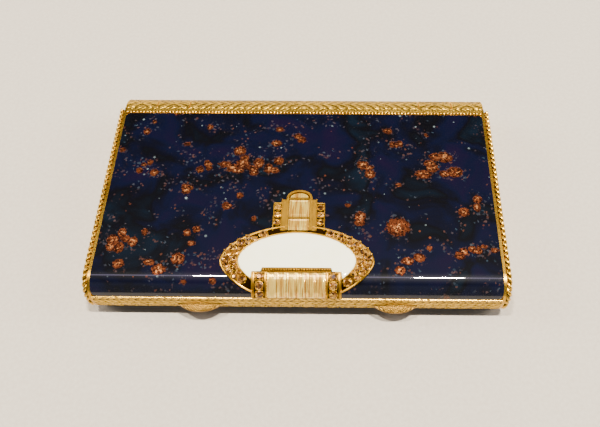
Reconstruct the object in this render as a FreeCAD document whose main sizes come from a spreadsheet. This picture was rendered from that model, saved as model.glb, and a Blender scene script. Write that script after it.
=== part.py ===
import FreeCAD, Part
import math
import os
import re
import Sketcher

# Flat rectangular vanity case with a lipstick holder: a shallow base and an equal lid that meet at
# mid-height, hinged along a round spine at the back. Both long front edges are rolled.
# Frame: X along the case, +Y towards the spine, +Z up, origin under the middle of the case.

doc = FreeCAD.newDocument("vanity_case")
sheet = doc.addObject("Spreadsheet::Sheet", "Dims")

sizes = {
    # outside
    "topHalf": 46.75,         # half length of the panels, inside the rope borders
    "endHalf": 47.3,          # half length over the end walls
    "caseHeight": 12.0,
    "frontFace": 27.75,       # distance of the front face from the origin
    "rollRadius": 5.2,        # quarter round of the front edge
    "partingGap": 0.1,
    "wall": 0.9,
    "cavityRear": 17.0,
    "ropeRadius": 0.6,
    "ropeAcross": 47.4,       # rope centre, from the middle of the case
    "ropeRear": 23.9,
    "rabbet": 1.25,
    # enamel panels and engraved front rims
    "enamelHalf": 46.1,
    "enamelRear": 22.45,
    "enamelDepth": 0.4,
    "enamelTurn": 69,         # degrees of the roll that the enamel covers
    "underRecess": 0.05,      # the lower panel lies this far inside the surface
    "rimTurn": 70.2,
    # spine and hinge
    "spineRear": 24.35,       # spine axis
    "spineRadius": 5.9,
    "spineClear": 5.96,
    "spineWall": 0.7,
    "spineDisc": 0.8,
    "centreHalf": 29.95,
    "knuckleNear": 30.05,
    "knuckleFar": 38.45,
    "endNear": 38.55,
    "pinRadius": 0.8,
    "pinFit": 0.05,
    "beadFront": 22.55,
    "beadWidth": 0.6,
    "beadHeight": 0.25,
    # ornament
    "ornamentLift": 0.85,
    "ringHalfLong": 17.35,
    "ringHalfShort": 8.9,
    "ringMiddle": 20.0,       # ring centre, distance in front of the origin
    "plaqueHalfLong": 13.4,
    "plaqueHalfShort": 7.35,
    "plaqueMiddle": 19.7,
    "plaqueLift": 0.75,
    "panelHalf": 9.85,
    "panelRear": 21.9,
    "barHalf": 7.7,
    "barDeep": 0.9,
    "panelTurn": 66,
    "towerHalf": 5.95,
    "towerRear": 4.9,
    "stepHalf": 4.1,
    "stepRear": 3.9,
    "gableHalf": 3.05,
    "gableRear": 3.45,
    "gableTip": 1.4,
    "towerFront": 12.4,
    "stoneDeep": 0.7,
    "ringStoneShare": 0.36,   # stone radius as a share of the ring's width
    "ringStoneMost": 1.15,
    "ringStonePitch": 2.25,   # spacing along the ring, in stone radii
    "ringStoneStart": 58,     # degrees below the ring's long axis
    "columnStone": 0.85,
    "columnPitch": 1.85,
    "towerStone": 0.75,
    "towerPitch": 2.0,
    "towerStoneRear": 1.2,
    "fluteHalf": 6.6,         # half width of the six upright baguettes together
    "fluteCount": 6,
    "fluteGap": 0.16,
    "fluteEnd": 0.3,
    "lyingHalf": 2.35,
    "upperRear": 4.2,
    "upperLength": 4.55,
    "lowerRear": 9.0,
    "lowerLength": 3.0,
    "roofHalf": 2.0,
    "roofInset": 0.45,
    "roofDrop": 0.95,
    # catches
    "thumbAcross": 22.3,
    "thumbHalf": 4.9,
    "thumbReach": 1.8,
    "thumbLow": 4.8,
    "thumbHeight": 1.08,
    "thumbStem": 1.7,
    "notchSide": 0.1,
    "notchLow": 4.7,
    "latchThick": 0.7,
    "latchHalf": 4.0,
    "latchLow": 4.2,
    "latchHeight": 4.1,
    "noseDeep": 0.35,
    "noseHeight": 0.7,
    "strikeDeep": 1.2,
    "strikeRoot": 0.72,       # starts inside the lid's wall, so that it is one with it when trimmed
    "strikeLow": 6.9,
    "strikeHeight": 0.6,
    "housingHalf": 5.5,
    "housingBack": 4.8,
    "housingSheet": 0.5,
    "housingLow": 3.4,
    "housingHigh": 5.85,
    "springThick": 0.2,
    # inside of the base
    "floorGap": 0.05,
    "deckHalf": 46.3,
    "deckFront": 13.5,
    "deckRear": 16.9,
    "deckTop": 5.8,
    "deckSheet": 0.7,
    "panLeft": 43.0,
    "panRight": 11.0,
    "panFront": 12.2,
    "panRear": 13.6,
    "panSheet": 0.5,
    "panLip": 1.0,
    "cakeHeight": 2.7,
    "cakeInset": 0.6,
    "wellLeft": 13.0,
    "wellRight": 44.0,
    "wellFront": 12.4,
    "wellRear": 15.6,
    "coverGap": 0.2,
    "coverSheet": 0.6,
    "coverRear": 15.6,
    "coverPinHigh": 6.7,
    "coverTube": 0.75,
    "coverPin": 0.35,
    "coverFit": 0.05,
    "lugThick": 1.2,
    "tabHalf": 3.0,
    "tabDeep": 1.1,
    # mirror
    "mirrorHalf": 40.0,
    "mirrorFront": 12.5,
    "mirrorRear": 15.5,
    "mirrorDrop": 1.1,
    "mirrorBorder": 1.2,
    "mirrorLip": 0.6,
    "mirrorSheet": 0.7,
    "glassDrop": 0.91,        # underside of the glass below the lid's inner face
    # lipstick
    "tubeAcross": 18.6,       # lipstick axis, distance in front of the origin
    "tubeHigh": 5.5,
    "tubeRadius": 4.15,
    "tubeBore": 3.5,
    "tubeLeft": 45.5,
    "tubeLength": 58.0,
    "capLength": 2.0,
    "slotLeft": 26.0,
    "slotLength": 20.0,
    "slotWidth": 1.7,
    "cupRadius": 3.42,
    "stickRadius": 3.0,
    "cupLeft": 27.5,
    "cupLength": 14.0,
    "cupFloor": 1.0,
    "stickEnd": 9.5,
    "stickTip": 5.0,
    "tipPast": 0.1,
    "tipLow": 2.1,            # the slant ends this far below the axis
    "knobLong": 3.2,
    "knobWide": 1.5,
    "knobHigh": 0.75,
    "restFit": 0.1,
    "restLong": 5.0,
    "restHalf": 3.4,
    "restHigh": 3.6,
    "restOneX": 39.0,
    "restTwoX": 1.0,
}
for row, (alias, size) in enumerate(sizes.items(), start=1):
    sheet.set("A%d" % row, alias)
    sheet.set("B%d" % row, str(size))
    sheet.setAlias("B%d" % row, alias)
doc.recompute()

word = re.compile(r"[A-Za-z]+")
subParts = []


def formula(text):
    """Point each size named in the text at its cell of the sheet."""
    return word.sub(lambda m: "Dims." + m.group() if m.group() in sizes else m.group(), str(text))


def amount(text):
    """Present value of a formula, used to place geometry before it is constrained."""
    return float(sheet.evalExpression(formula(text)))


def bind(thing, path, text):
    thing.setExpression(path, formula(text))


def place(thing, at):
    for axis, text in zip("xyz", at):
        bind(thing, "Placement.Base." + axis, text)
    return thing


def keep(thing, label):
    """Mark a finished piece as a sub-part of its own."""
    thing.Label = label
    subParts.append(thing)
    return thing


def box(name, low, size):
    thing = doc.addObject("Part::Box", name)
    for side, text in zip(("Length", "Width", "Height"), size):
        bind(thing, side, text)
    return place(thing, low)


def rod(name, radius, start, length, at):
    """Cylinder along X from start, round the line at = (y, z)."""
    thing = doc.addObject("Part::Cylinder", name)
    bind(thing, "Radius", radius)
    bind(thing, "Height", length)
    thing.Placement = FreeCAD.Placement(FreeCAD.Vector(), FreeCAD.Rotation(FreeCAD.Vector(0, 1, 0), 90))
    return place(thing, (start, at[0], at[1]))


def fuse(name, *things):
    thing = doc.addObject("Part::MultiFuse", name)
    thing.Shapes = list(things)
    return thing


def cut(name, base, *tools):
    thing = doc.addObject("Part::Cut", name)
    thing.Base = base
    thing.Tool = tools[0] if len(tools) == 1 else fuse(name + "_tools", *tools)
    return thing


def common(name, *things):
    thing = doc.addObject("Part::MultiCommon", name)
    thing.Shapes = list(things)
    return thing


def mirror(name, source, normal, level=0.0):
    thing = doc.addObject("Part::Mirroring", name)
    thing.Source = source
    thing.Normal = FreeCAD.Vector(normal)
    thing.Base = FreeCAD.Vector(normal) * level
    return thing


def originPlane(body, role):
    return [f for f in body.Origin.OriginFeatures if f.Role == role][0]


def sketchOn(body, role, name, offset="0"):
    sketch = body.newObject("Sketcher::SketchObject", name)
    sketch.AttachmentSupport = (originPlane(body, role), "")
    sketch.MapMode = "FlatFace"
    bind(sketch, "AttachmentOffset.Base.z", offset)
    doc.recompute()
    return sketch


def pinPoint(sketch, index, end, corner):
    """Hold one end of a sketch line at a corner given by two formulas."""
    for kind, text in zip(("DistanceX", "DistanceY"), corner):
        number = sketch.addConstraint(Sketcher.Constraint(kind, -1, 1, index, end, amount(text)))
        bind(sketch, "Constraints[%d]" % number, text)


def drawOutline(sketch, corners, closed=True):
    """Lines through the corners; a corner's third entry is (radius, side) of an arc to the next."""
    last = len(corners) if closed else len(corners) - 1
    for index in range(last):
        here, there = corners[index], corners[(index + 1) % len(corners)]
        start = FreeCAD.Vector(amount(here[0]), amount(here[1]), 0)
        stop = FreeCAD.Vector(amount(there[0]), amount(there[1]), 0)
        if len(here) == 2:
            sketch.addGeometry(Part.LineSegment(start, stop))
            pinPoint(sketch, index, 1, here)
            pinPoint(sketch, index, 2, there)
            continue
        radius, side = here[2]
        half = (stop - start) * 0.5
        out = FreeCAD.Vector(-half.y, half.x, 0).normalize() * side
        rise = amount(radius) - math.sqrt(amount(radius) ** 2 - half.Length ** 2)
        crown = start + half + out * rise
        arc = Part.Arc(stop, crown, start) if side > 0 else Part.Arc(start, crown, stop)
        sketch.addGeometry(arc)
        ends = (2, 1) if side > 0 else (1, 2)  # the sketch keeps every arc anticlockwise
        pinPoint(sketch, index, ends[0], here)
        pinPoint(sketch, index, ends[1], there)
        number = sketch.addConstraint(Sketcher.Constraint("Radius", index, amount(radius)))
        bind(sketch, "Constraints[%d]" % number, radius)
    return sketch


def grow(body, sketch, length, kind="PartDesign::Pad", both=True):
    feature = body.newObject(kind, sketch.Name + "_solid")
    feature.Profile = sketch
    bind(feature, "Length", length)
    feature.Midplane = both
    body.Tip = feature
    doc.recompute()
    return feature


def block(name, role, corners, length, both=True, offset="0"):
    """PartDesign body: one outline on an origin plane, padded."""
    body = doc.addObject("PartDesign::Body", name)
    sketch = drawOutline(sketchOn(body, role, name + "_outline", offset), corners)
    grow(body, sketch, length, both=both)
    return body


# --- profiles across the case, (Y, Z) ---

rollY = "(-frontFace + rollRadius)"
rollZ = "(caseHeight - rollRadius)"
half = "(caseHeight / 2 + partingGap / 2)"


def lidProfile(inset, rear):
    """Closed section of the lid: front face, quarter round, flat top; inset moves it all inwards."""
    return [
        ("-frontFace + " + inset, half),
        ("-frontFace + " + inset, rollZ, ("rollRadius - " + inset, 1)),
        (rollY, "caseHeight - " + inset),
        (rear, "caseHeight - " + inset),
        (rear, half),
    ]


def band(inner, outer, rear, turn):
    """Sheet that follows the flat top from rear and then the roll through turn degrees."""
    def onRoll(level):
        return ("%s - (rollRadius + %s) * sin(%s)" % (rollY, level, turn),
                "%s + (rollRadius + %s) * cos(%s)" % (rollZ, level, turn))
    return [
        (rear, "caseHeight + " + inner),
        (rollY, "caseHeight + " + inner, ("rollRadius + " + inner, -1)),
        onRoll(inner),
        onRoll(outer) + (("rollRadius + " + outer, 1),),
        (rollY, "caseHeight + " + outer),
        (rear, "caseHeight + " + outer),
    ]


# --- lid and base shells ---

def trayBlank(name):
    """One half of the case: full section between the ropes, a lower rabbet at each end, hollowed."""
    body = doc.addObject("PartDesign::Body", name)
    steps = (
        ("full", lidProfile("0", "spineRear"), "2 * topHalf", "PartDesign::Pad"),
        ("ends", lidProfile("rabbet", "spineRear"), "2 * endHalf", "PartDesign::Pad"),
        ("hollow", lidProfile("wall", "cavityRear"), "2 * (endHalf - wall)", "PartDesign::Pocket"),
    )
    for step, corners, length, kind in steps:
        sketch = drawOutline(sketchOn(body, "YZ_Plane", name + "_" + step), corners)
        grow(body, sketch, length, kind)
    return body


axis = ("spineRear", "caseHeight / 2")
lidBlank = trayBlank("lid_blank")
baseBlank = mirror("base_blank", lidBlank, (0, 0, 1), sizes["caseHeight"] / 2)

enamel = block("enamel_sheet", "YZ_Plane", band("-enamelDepth", "0", "enamelRear", "enamelTurn"),
               "2 * enamelHalf")
underSheet = block("under_sheet", "YZ_Plane",
                   band("-enamelDepth - underRecess", "-underRecess", "enamelRear", "enamelTurn"),
                   "2 * enamelHalf")
under = mirror("under_sheet_turned", underSheet, (0, 0, 1), sizes["caseHeight"] / 2)
seat = block("enamel_seat", "YZ_Plane", band("-enamelDepth", "wall", "enamelRear", "enamelTurn"),
             "2 * enamelHalf")
underSeatSheet = block("under_seat", "YZ_Plane",
                       band("-enamelDepth - underRecess", "wall", "enamelRear", "enamelTurn"),
                       "2 * enamelHalf")
underSeat = mirror("under_seat_turned", underSeatSheet, (0, 0, 1), sizes["caseHeight"] / 2)

# Engraved strip on the front of the lid, from the enamel's edge down to the parting line.
rimOuter = ("%s - rollRadius * sin(rimTurn)" % rollY, "%s + rollRadius * cos(rimTurn)" % rollZ)
rimInner = ("%s - (rollRadius - enamelDepth) * sin(rimTurn)" % rollY,
            "%s + (rollRadius - enamelDepth) * cos(rimTurn)" % rollZ)
rim = block("rim_sheet", "YZ_Plane", [
    ("-frontFace", half),
    ("-frontFace", rollZ, ("rollRadius", 1)),
    rimOuter,
    rimInner + (("rollRadius - enamelDepth", -1),),
    ("-frontFace + enamelDepth", rollZ),
    ("-frontFace + enamelDepth", half),
], "2 * enamelHalf")
rimTurned = mirror("rim_turned", rim, (0, 0, 1), sizes["caseHeight"] / 2)

spineBore = rod("spine_bore", "spineRadius", "-endHalf", "2 * endHalf", axis)
centreClear = rod("centre_clear", "spineClear", "-knuckleNear", "2 * knuckleNear", axis)
farLength = "endHalf - knuckleFar"
rightClear = rod("right_clear", "spineClear", "knuckleFar", farLength, axis)
leftClear = rod("left_clear", "spineClear", "-endHalf", farLength, axis)
knuckleRoom = "endNear - centreHalf"
rightRoom = rod("right_room", "spineClear", "centreHalf", knuckleRoom, axis)
leftRoom = rod("left_room", "spineClear", "-endNear", knuckleRoom, axis)
enamelClear = rod("enamel_clear", "spineClear", "-endHalf", "2 * endHalf", axis)

keep(cut("lid_panel_cut", enamel, enamelClear), "enamel_panel")
keep(cut("base_panel_cut", under, enamelClear), "base_enamel_panel")
keep(rim, "lid_front_rim")
lidShell = keep(cut("lid_cut", lidBlank, seat, rim, spineBore, centreClear, rightClear, leftClear),
                "lid_shell")


def notch(side, name):
    return box(name, ("%s * thumbAcross - thumbHalf - notchSide" % side, "-frontFace - wall", "notchLow"),
               ("2 * (thumbHalf + notchSide)", "2 * wall + partingGap", "caseHeight / 2 - notchLow"))


notches = fuse("thumb_notches", notch("-1", "notch_left"), notch("1", "notch_right"))
keep(cut("base_rim_cut", rimTurned, notches), "base_front_rim")
baseShell = keep(cut("base_cut", baseBlank, underSeat, rimTurned, spineBore, rightRoom, leftRoom, notches),
                 "base_shell")


# --- rope borders along both ends of lid and base ---

def rope(name, side):
    body = doc.addObject("PartDesign::Body", name)
    path = sketchOn(body, "YZ_Plane", name + "_path", "%s * ropeAcross" % side)
    high = "caseHeight - ropeRadius"
    drawOutline(path, [
        ("ropeRear", high),
        (rollY, high, ("rollRadius - ropeRadius", -1)),
        ("-frontFace + ropeRadius", rollZ),
        ("-frontFace + ropeRadius", "caseHeight / 2 + partingGap"),
    ], closed=False)
    section = sketchOn(body, "XZ_Plane", name + "_section", "-ropeRear")
    centre = FreeCAD.Vector(amount("%s * ropeAcross" % side), amount(high), 0)
    section.addGeometry(Part.Circle(centre, FreeCAD.Vector(0, 0, 1), amount("ropeRadius")))
    pinPoint(section, 0, 3, ("%s * ropeAcross" % side, high))
    number = section.addConstraint(Sketcher.Constraint("Radius", 0, amount("ropeRadius")))
    bind(section, "Constraints[%d]" % number, "ropeRadius")
    doc.recompute()
    pipe = body.newObject("PartDesign::AdditivePipe", name + "_pipe")
    pipe.Profile = section
    pipe.Spine = path
    body.Tip = pipe
    doc.recompute()
    return body


for label, side in (("left", "-1"), ("right", "1")):
    lidRope = rope("rope_" + label, side)
    keep(mirror("rope_turned_" + label, lidRope, (0, 0, 1), sizes["caseHeight"] / 2), "base_rope_" + label)
    keep(lidRope, "lid_rope_" + label)


# --- spine segments round one long pin ---

def segment(name, start, length, bore):
    """Closed hollow barrel with a disc at each end, bored for the pin."""
    shell = rod(name + "_skin", "spineRadius", start, length, axis)
    hollow = rod(name + "_hollow", "spineRadius - spineWall", "%s + spineDisc" % start,
                 "%s - 2 * spineDisc" % length, axis)
    hole = rod(name + "_hole", bore, "%s - spineDisc" % start, "%s + 2 * spineDisc" % length, axis)
    return cut(name + "_cut", shell, hollow, hole)


endLength = "(topHalf - endNear)"
knuckleLength = "(knuckleFar - knuckleNear)"
keep(segment("centre", "-centreHalf", "2 * centreHalf", "pinRadius"), "spine_centre")
keep(segment("end_left", "-topHalf", endLength, "pinRadius"), "spine_end_left")
keep(segment("end_right", "endNear", endLength, "pinRadius"), "spine_end_right")
keep(segment("knuckle_left", "-knuckleFar", knuckleLength, "pinRadius + pinFit"), "lid_knuckle_left")
keep(segment("knuckle_right", "knuckleNear", knuckleLength, "pinRadius + pinFit"), "lid_knuckle_right")
keep(rod("pin", "pinRadius", "-topHalf", "2 * topHalf", axis), "hinge_pin")
keep(box("bead", ("-enamelHalf", "beadFront", "caseHeight"), ("2 * enamelHalf", "beadWidth", "beadHeight")),
     "rear_bead_strip")


# --- ornament on the lid's front edge ---

def oval(name, halfLong, halfShort, middle):
    edge = doc.addObject("Part::Ellipse", name + "_edge")
    bind(edge, "MajorRadius", halfLong)
    bind(edge, "MinorRadius", halfShort)
    place(edge, ("0", "-" + middle, "caseHeight / 2"))
    solid = doc.addObject("Part::Extrusion", name)
    solid.Base = edge
    solid.DirMode = "Custom"
    solid.Dir = FreeCAD.Vector(0, 0, 1)
    solid.Solid = True
    bind(solid, "LengthFwd", "caseHeight")
    return solid


def column(name, halfWide, rear, front):
    """Upright block from rear to front, centred on the case."""
    return box(name, ("-(%s)" % halfWide, "-(%s)" % front, "caseHeight / 2"),
               ("2 * (%s)" % halfWide, "(%s) - (%s)" % (front, rear), "caseHeight"))


panelFront = "(frontFace - rollRadius * (1 - sin(panelTurn)))"
lift = block("lift_band", "YZ_Plane", band("0", "ornamentLift", "0", "panelTurn + 1"), "2 * topHalf")
plaqueBand = block("plaque_band", "YZ_Plane", band("0", "plaqueLift", "0", "panelTurn + 1"), "2 * topHalf")
ringOval = oval("ring_oval", "ringHalfLong", "ringHalfShort", "ringMiddle")
plaqueOval = oval("plaque_oval", "plaqueHalfLong", "plaqueHalfShort", "plaqueMiddle")
panelBlock = column("panel_block", "panelHalf", "panelRear + barDeep", panelFront)
barBlock = column("bar_block", "barHalf", "panelRear", "panelRear + barDeep")
belowPanel = column("below_panel", "panelHalf", panelFront, "frontFace + ornamentLift + wall")
towerSide = column("tower_side", "towerHalf", "towerRear", "towerFront")
towerStep = column("tower_step", "stepHalf", "stepRear", "towerFront")
gable = block("gable_block", "XY_Plane", [
    ("-gableHalf", "-towerFront"),
    ("gableHalf", "-towerFront"),
    ("gableHalf", "-gableRear"),
    ("0", "-gableTip"),
    ("-gableHalf", "-gableRear"),
], "1.5 * caseHeight", both=False, offset="caseHeight / 2")


def stones(name, spots, depth):
    """Round stones as truncated cones standing in the lifted band; spots are (x, along, radius)."""
    roll = amount("rollRadius")
    flat = -amount(rollY)
    high = amount("ornamentLift")
    solids = []
    for across, along, radius in spots:
        turn = max(0.0, along - flat) / roll
        outward = FreeCAD.Vector(0, -math.sin(turn), math.cos(turn))
        foot = FreeCAD.Vector(across, -min(along, flat) - roll * math.sin(turn),
                              amount(rollZ) + roll * math.cos(turn))
        solids.append(Part.makeCone(radius * 0.8, radius, depth, foot + outward * (high - depth), outward))
    thing = doc.addObject("Part::Feature", name)
    thing.Shape = Part.makeCompound(solids)
    thing.Placement = FreeCAD.Placement()
    return thing


def ringSpots():
    """Stones graded round the ring, left out where the fluted panel and the tower stand."""
    spots = []
    turn = -math.radians(sizes["ringStoneStart"])
    stop = math.pi - turn
    shift = sizes["ringMiddle"] - sizes["plaqueMiddle"]
    halfLong = (sizes["ringHalfLong"] + sizes["plaqueHalfLong"]) / 2
    halfShort = (sizes["ringHalfShort"] + sizes["plaqueHalfShort"]) / 2
    while turn < stop:
        inner = (sizes["plaqueHalfLong"] * math.cos(turn), sizes["plaqueHalfShort"] * math.sin(turn))
        outer = (sizes["ringHalfLong"] * math.cos(turn), sizes["ringHalfShort"] * math.sin(turn))
        width = math.hypot(outer[0] - inner[0], outer[1] - inner[1] - shift)
        radius = min(sizes["ringStoneShare"] * width, sizes["ringStoneMost"])
        across = (inner[0] + outer[0]) / 2
        along = sizes["ringMiddle"] - (inner[1] + outer[1] + shift) / 2
        besidePanel = abs(across) > sizes["panelHalf"] + radius or along < sizes["plaqueMiddle"]
        clearOfTower = abs(across) > sizes["towerHalf"] or along > sizes["ringMiddle"]
        if besidePanel and clearOfTower:
            spots.append((across, along, radius))
        speed = math.hypot(halfLong * math.sin(turn), halfShort * math.cos(turn))
        turn += sizes["ringStonePitch"] * radius / speed
    return spots


def columnSpots():
    """Three stones in each column beside the fluted panel, and three in each side of the tower."""
    besidePanel = (sizes["panelHalf"] + sizes["fluteHalf"]) / 2
    besideTower = (sizes["towerHalf"] + sizes["stepHalf"]) / 2
    spots = []
    for side in (-1, 1):
        for step in range(3):
            along = sizes["panelRear"] + sizes["columnPitch"] * (step + 1)
            spots.append((side * besidePanel, along, sizes["columnStone"]))
            along = sizes["towerRear"] + sizes["towerStoneRear"] + sizes["towerPitch"] * step
            spots.append((side * besideTower, along, sizes["towerStone"]))
    return spots


def panelStones():
    """Upright baguettes side by side over the roll, each a slice of the lifted band."""
    pieces = []
    pitch = "2 * fluteHalf / fluteCount"
    for step in range(sizes["fluteCount"]):
        left = "%d * %s - fluteHalf + fluteGap / 2" % (step, pitch)
        deep = panelFront + " - panelRear - barDeep - 2 * fluteEnd"
        pieces.append(box("flute_%d" % step, (left, "-" + panelFront + " + fluteEnd", "caseHeight / 2"),
                          (pitch + " - fluteGap", deep, "caseHeight")))
    return common("panel_stones", fuse("flutes", *pieces), lift)


def towerStones():
    """Two lying baguettes and a roof-shaped stone over them."""
    upper = box("lying_upper", ("-lyingHalf", "-upperRear - upperLength", "caseHeight"),
                ("2 * lyingHalf", "upperLength", "ornamentLift"))
    lower = box("lying_lower", ("-lyingHalf", "-lowerRear - lowerLength", "caseHeight"),
                ("2 * lyingHalf", "lowerLength", "ornamentLift"))
    roof = block("roof_stone", "XY_Plane", [
        ("-roofHalf", "-gableRear - roofInset"),
        ("roofHalf", "-gableRear - roofInset"),
        ("roofHalf / 2", "-gableTip - roofDrop"),
        ("-roofHalf / 2", "-gableTip - roofDrop"),
    ], "ornamentLift", both=False, offset="caseHeight")
    return fuse("tower_stones", upper, lower, roof)


ringStones = keep(stones("ring_stone_set", ringSpots(), sizes["stoneDeep"]), "ring_stones")
columnStones = keep(stones("column_stone_set", columnSpots(), sizes["stoneDeep"]), "column_stones")
panelBaguettes = keep(panelStones(), "panel_baguettes")
towerBaguettes = keep(towerStones(), "tower_baguettes")

plaqueArea = cut("plaque_area", plaqueOval, panelBlock, barBlock, belowPanel, gable, towerStep, towerSide)
settingArea = fuse("setting_area", cut("ring_area", ringOval, plaqueOval, belowPanel),
                   panelBlock, barBlock, towerSide, towerStep, gable)
keep(common("plaque_common", plaqueArea, plaqueBand), "white_plaque")
keep(cut("setting_cut", common("setting_common", settingArea, lift), ringStones, columnStones,
         panelBaguettes, towerBaguettes), "ornament_setting")


# --- push catches: a half-round thumb-piece, its latch, a leaf spring and a housing on each side ---

def thumbPiece(name, side):
    middle = "%s * thumbAcross" % side
    bow = "(thumbHalf * thumbHalf / (2 * thumbReach) + thumbReach / 2)"
    return block(name, "XY_Plane", [
        (middle + " - thumbHalf", "-frontFace + thumbStem"),
        (middle + " - thumbHalf", "-frontFace", (bow, -1)),
        (middle + " + thumbHalf", "-frontFace"),
        (middle + " + thumbHalf", "-frontFace + thumbStem"),
    ], "thumbHeight", both=False, offset="thumbLow")


def latch(name, side):
    left = "%s * thumbAcross - latchHalf" % side
    bar = box(name + "_bar", (left, "-frontFace + thumbStem", "latchLow"),
              ("2 * latchHalf", "latchThick", "latchHeight"))
    noseLow = "latchLow + latchHeight - noseHeight"
    nose = box(name + "_nose", (left, "-frontFace + thumbStem - noseDeep", noseLow),
               ("2 * latchHalf", "noseDeep", "noseHeight"))
    return fuse(name, bar, nose)


def housing(name, side):
    left = "%s * thumbAcross - housingHalf" % side
    outer = box(name + "_outer", (left, "-frontFace + wall", "housingLow"),
                ("2 * housingHalf", "housingBack - wall", "housingHigh - housingLow"))
    inner = box(name + "_inner", (left + " + housingSheet", "-frontFace", "housingLow + housingSheet"),
                ("2 * (housingHalf - housingSheet)", "housingBack - housingSheet", "caseHeight"))
    return cut(name, cut(name + "_trim", outer, baseShell), inner)


def leafSpring(name, side):
    """Bowed leaf: its middle on the latch, its ends on the housing's back wall."""
    middle = "%s * thumbAcross" % side
    back = "-frontFace + housingBack - housingSheet"
    rise = "(housingBack - housingSheet - thumbStem - latchThick - springThick)"
    bow = "(latchHalf * latchHalf / (2 * %s) + %s / 2)" % (rise, rise)
    return block(name, "XY_Plane", [
        (middle + " - latchHalf", back + " - springThick", (bow, -1)),
        (middle + " + latchHalf", back + " - springThick"),
        (middle + " + latchHalf", back, (bow, 1)),
        (middle + " - latchHalf", back),
    ], "thumbHeight", both=False, offset="thumbLow")


def strike(name, side):
    start = "-frontFace + strikeRoot"
    plate = box(name + "_plate", ("%s * thumbAcross - latchHalf" % side, start, "strikeLow"),
                ("2 * latchHalf", "strikeDeep - strikeRoot", "strikeHeight"))
    return cut(name, plate, lidShell)


for label, side in (("left", "-1"), ("right", "1")):
    keep(thumbPiece("thumb_" + label, side), "thumb_piece_" + label)
    keep(latch("latch_" + label, side), "catch_latch_" + label)
    keep(housing("housing_" + label, side), "catch_housing_" + label)
    keep(leafSpring("leaf_" + label, side), "catch_spring_" + label)
    keep(strike("strike_" + label, side), "lid_strike_" + label)


# --- inside of the base ---

floorTop = "(wall + floorGap)"


def tray(name, left, right, front, rear, low, high):
    """Open pan: outer block less its inside."""
    size = ("%s - (%s)" % (right, left), "%s - (%s)" % (rear, front), "%s - (%s)" % (high, low))
    outer = box(name + "_outer", (left, front, low), size)
    inner = box(name + "_inner", (left + " + panSheet", front + " + panSheet", low + " + panSheet"),
                (size[0] + " - 2 * panSheet", size[1] + " - 2 * panSheet", high))
    return cut(name, outer, inner)


deckUnder = "(deckTop - deckSheet)"
plate = box("deck_plate", ("-deckHalf", "-deckFront", deckUnder),
            ("2 * deckHalf", "deckFront + deckRear", "deckSheet"))
apron = box("deck_apron", ("-deckHalf", "-deckFront", floorTop),
            ("2 * deckHalf", "deckSheet", "deckTop - wall - floorGap"))
lugSpan = (("-panLeft - lugThick", "lug_left"), ("panRight", "lug_right"))
lugs = [box(name, (left, "coverRear - coverTube", deckUnder),
            ("lugThick", "2 * coverTube", "coverPinHigh + coverTube - deckTop + deckSheet"))
        for left, name in lugSpan]
powderHole = box("powder_hole", ("-panLeft + panLip", "-panFront + panLip", "0"),
                 ("panLeft + panRight - 2 * panLip", "panFront + panRear - 2 * panLip", "caseHeight"))
wellHole = box("well_hole", ("wellLeft + panLip", "-wellFront + panLip", "0"),
               ("wellRight - wellLeft - 2 * panLip", "wellFront + wellRear - 2 * panLip", "caseHeight"))
coverLine = ("coverRear", "coverPinHigh")
pinLength = "panLeft + panRight + 2 * lugThick"
coverPinRod = rod("cover_pin", "coverPin", "-panLeft - lugThick", pinLength, coverLine)
keep(cut("deck_cut", fuse("deck_sheets", plate, apron, *lugs), powderHole, wellHole, coverPinRod),
     "interior_deck")
keep(coverPinRod, "powder_cover_pin")
keep(tray("powder_tray", "-panLeft", "panRight", "-panFront", "panRear", floorTop, deckUnder), "powder_pan")
keep(box("cake", ("-panLeft + cakeInset", "-panFront + cakeInset", floorTop + " + panSheet"),
         ("panLeft + panRight - 2 * cakeInset", "panFront + panRear - 2 * cakeInset", "cakeHeight")),
     "powder_cake")
keep(tray("well_tray", "wellLeft", "wellRight", "-wellFront", "wellRear", floorTop, deckUnder), "puff_well")

coverLow = "deckTop + coverGap"
coverSpan = "panLeft + panRight - 2 * coverGap"
coverPlate = box("cover_plate", ("-panLeft + coverGap", "-panFront", coverLow),
                 (coverSpan, "panFront + coverRear", "coverSheet"))
coverBarrel = rod("cover_barrel", "coverTube", "-panLeft + coverGap", coverSpan, coverLine)
coverTab = box("cover_tab", ("(panRight - panLeft) / 2 - tabHalf", "-panFront - tabDeep", coverLow),
               ("2 * tabHalf", "tabDeep + coverSheet", "coverSheet"))
coverBore = rod("cover_bore", "coverPin + coverFit", "-panLeft", "panLeft + panRight", coverLine)
keep(cut("cover_cut", fuse("cover_sheets", coverPlate, coverBarrel, coverTab), coverBore), "powder_cover")


# --- mirror in the lid ---

mirrorTop = "(caseHeight - wall)"
frameBlock = box("frame_block", ("-mirrorHalf", "-mirrorFront", mirrorTop + " - mirrorDrop"),
                 ("2 * mirrorHalf", "mirrorFront + mirrorRear", "mirrorDrop"))
glassLow = ("-mirrorHalf + mirrorLip", "-mirrorFront + mirrorLip", mirrorTop + " - glassDrop")
glassRoom = box("glass_room", glassLow,
                ("2 * (mirrorHalf - mirrorLip)", "mirrorFront + mirrorRear - 2 * mirrorLip", "caseHeight"))
window = box("frame_window", ("-mirrorHalf + mirrorBorder", "-mirrorFront + mirrorBorder", "0"),
             ("2 * (mirrorHalf - mirrorBorder)", "mirrorFront + mirrorRear - 2 * mirrorBorder", "caseHeight"))
keep(cut("frame_cut", frameBlock, glassRoom, window), "mirror_frame")
keep(box("glass", glassLow,
         ("2 * (mirrorHalf - mirrorLip)", "mirrorFront + mirrorRear - 2 * mirrorLip", "mirrorSheet")),
     "mirror_glass")


# --- lipstick: an open tube, a cup and stick that slide in it, and the knob that pushes them ---

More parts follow.
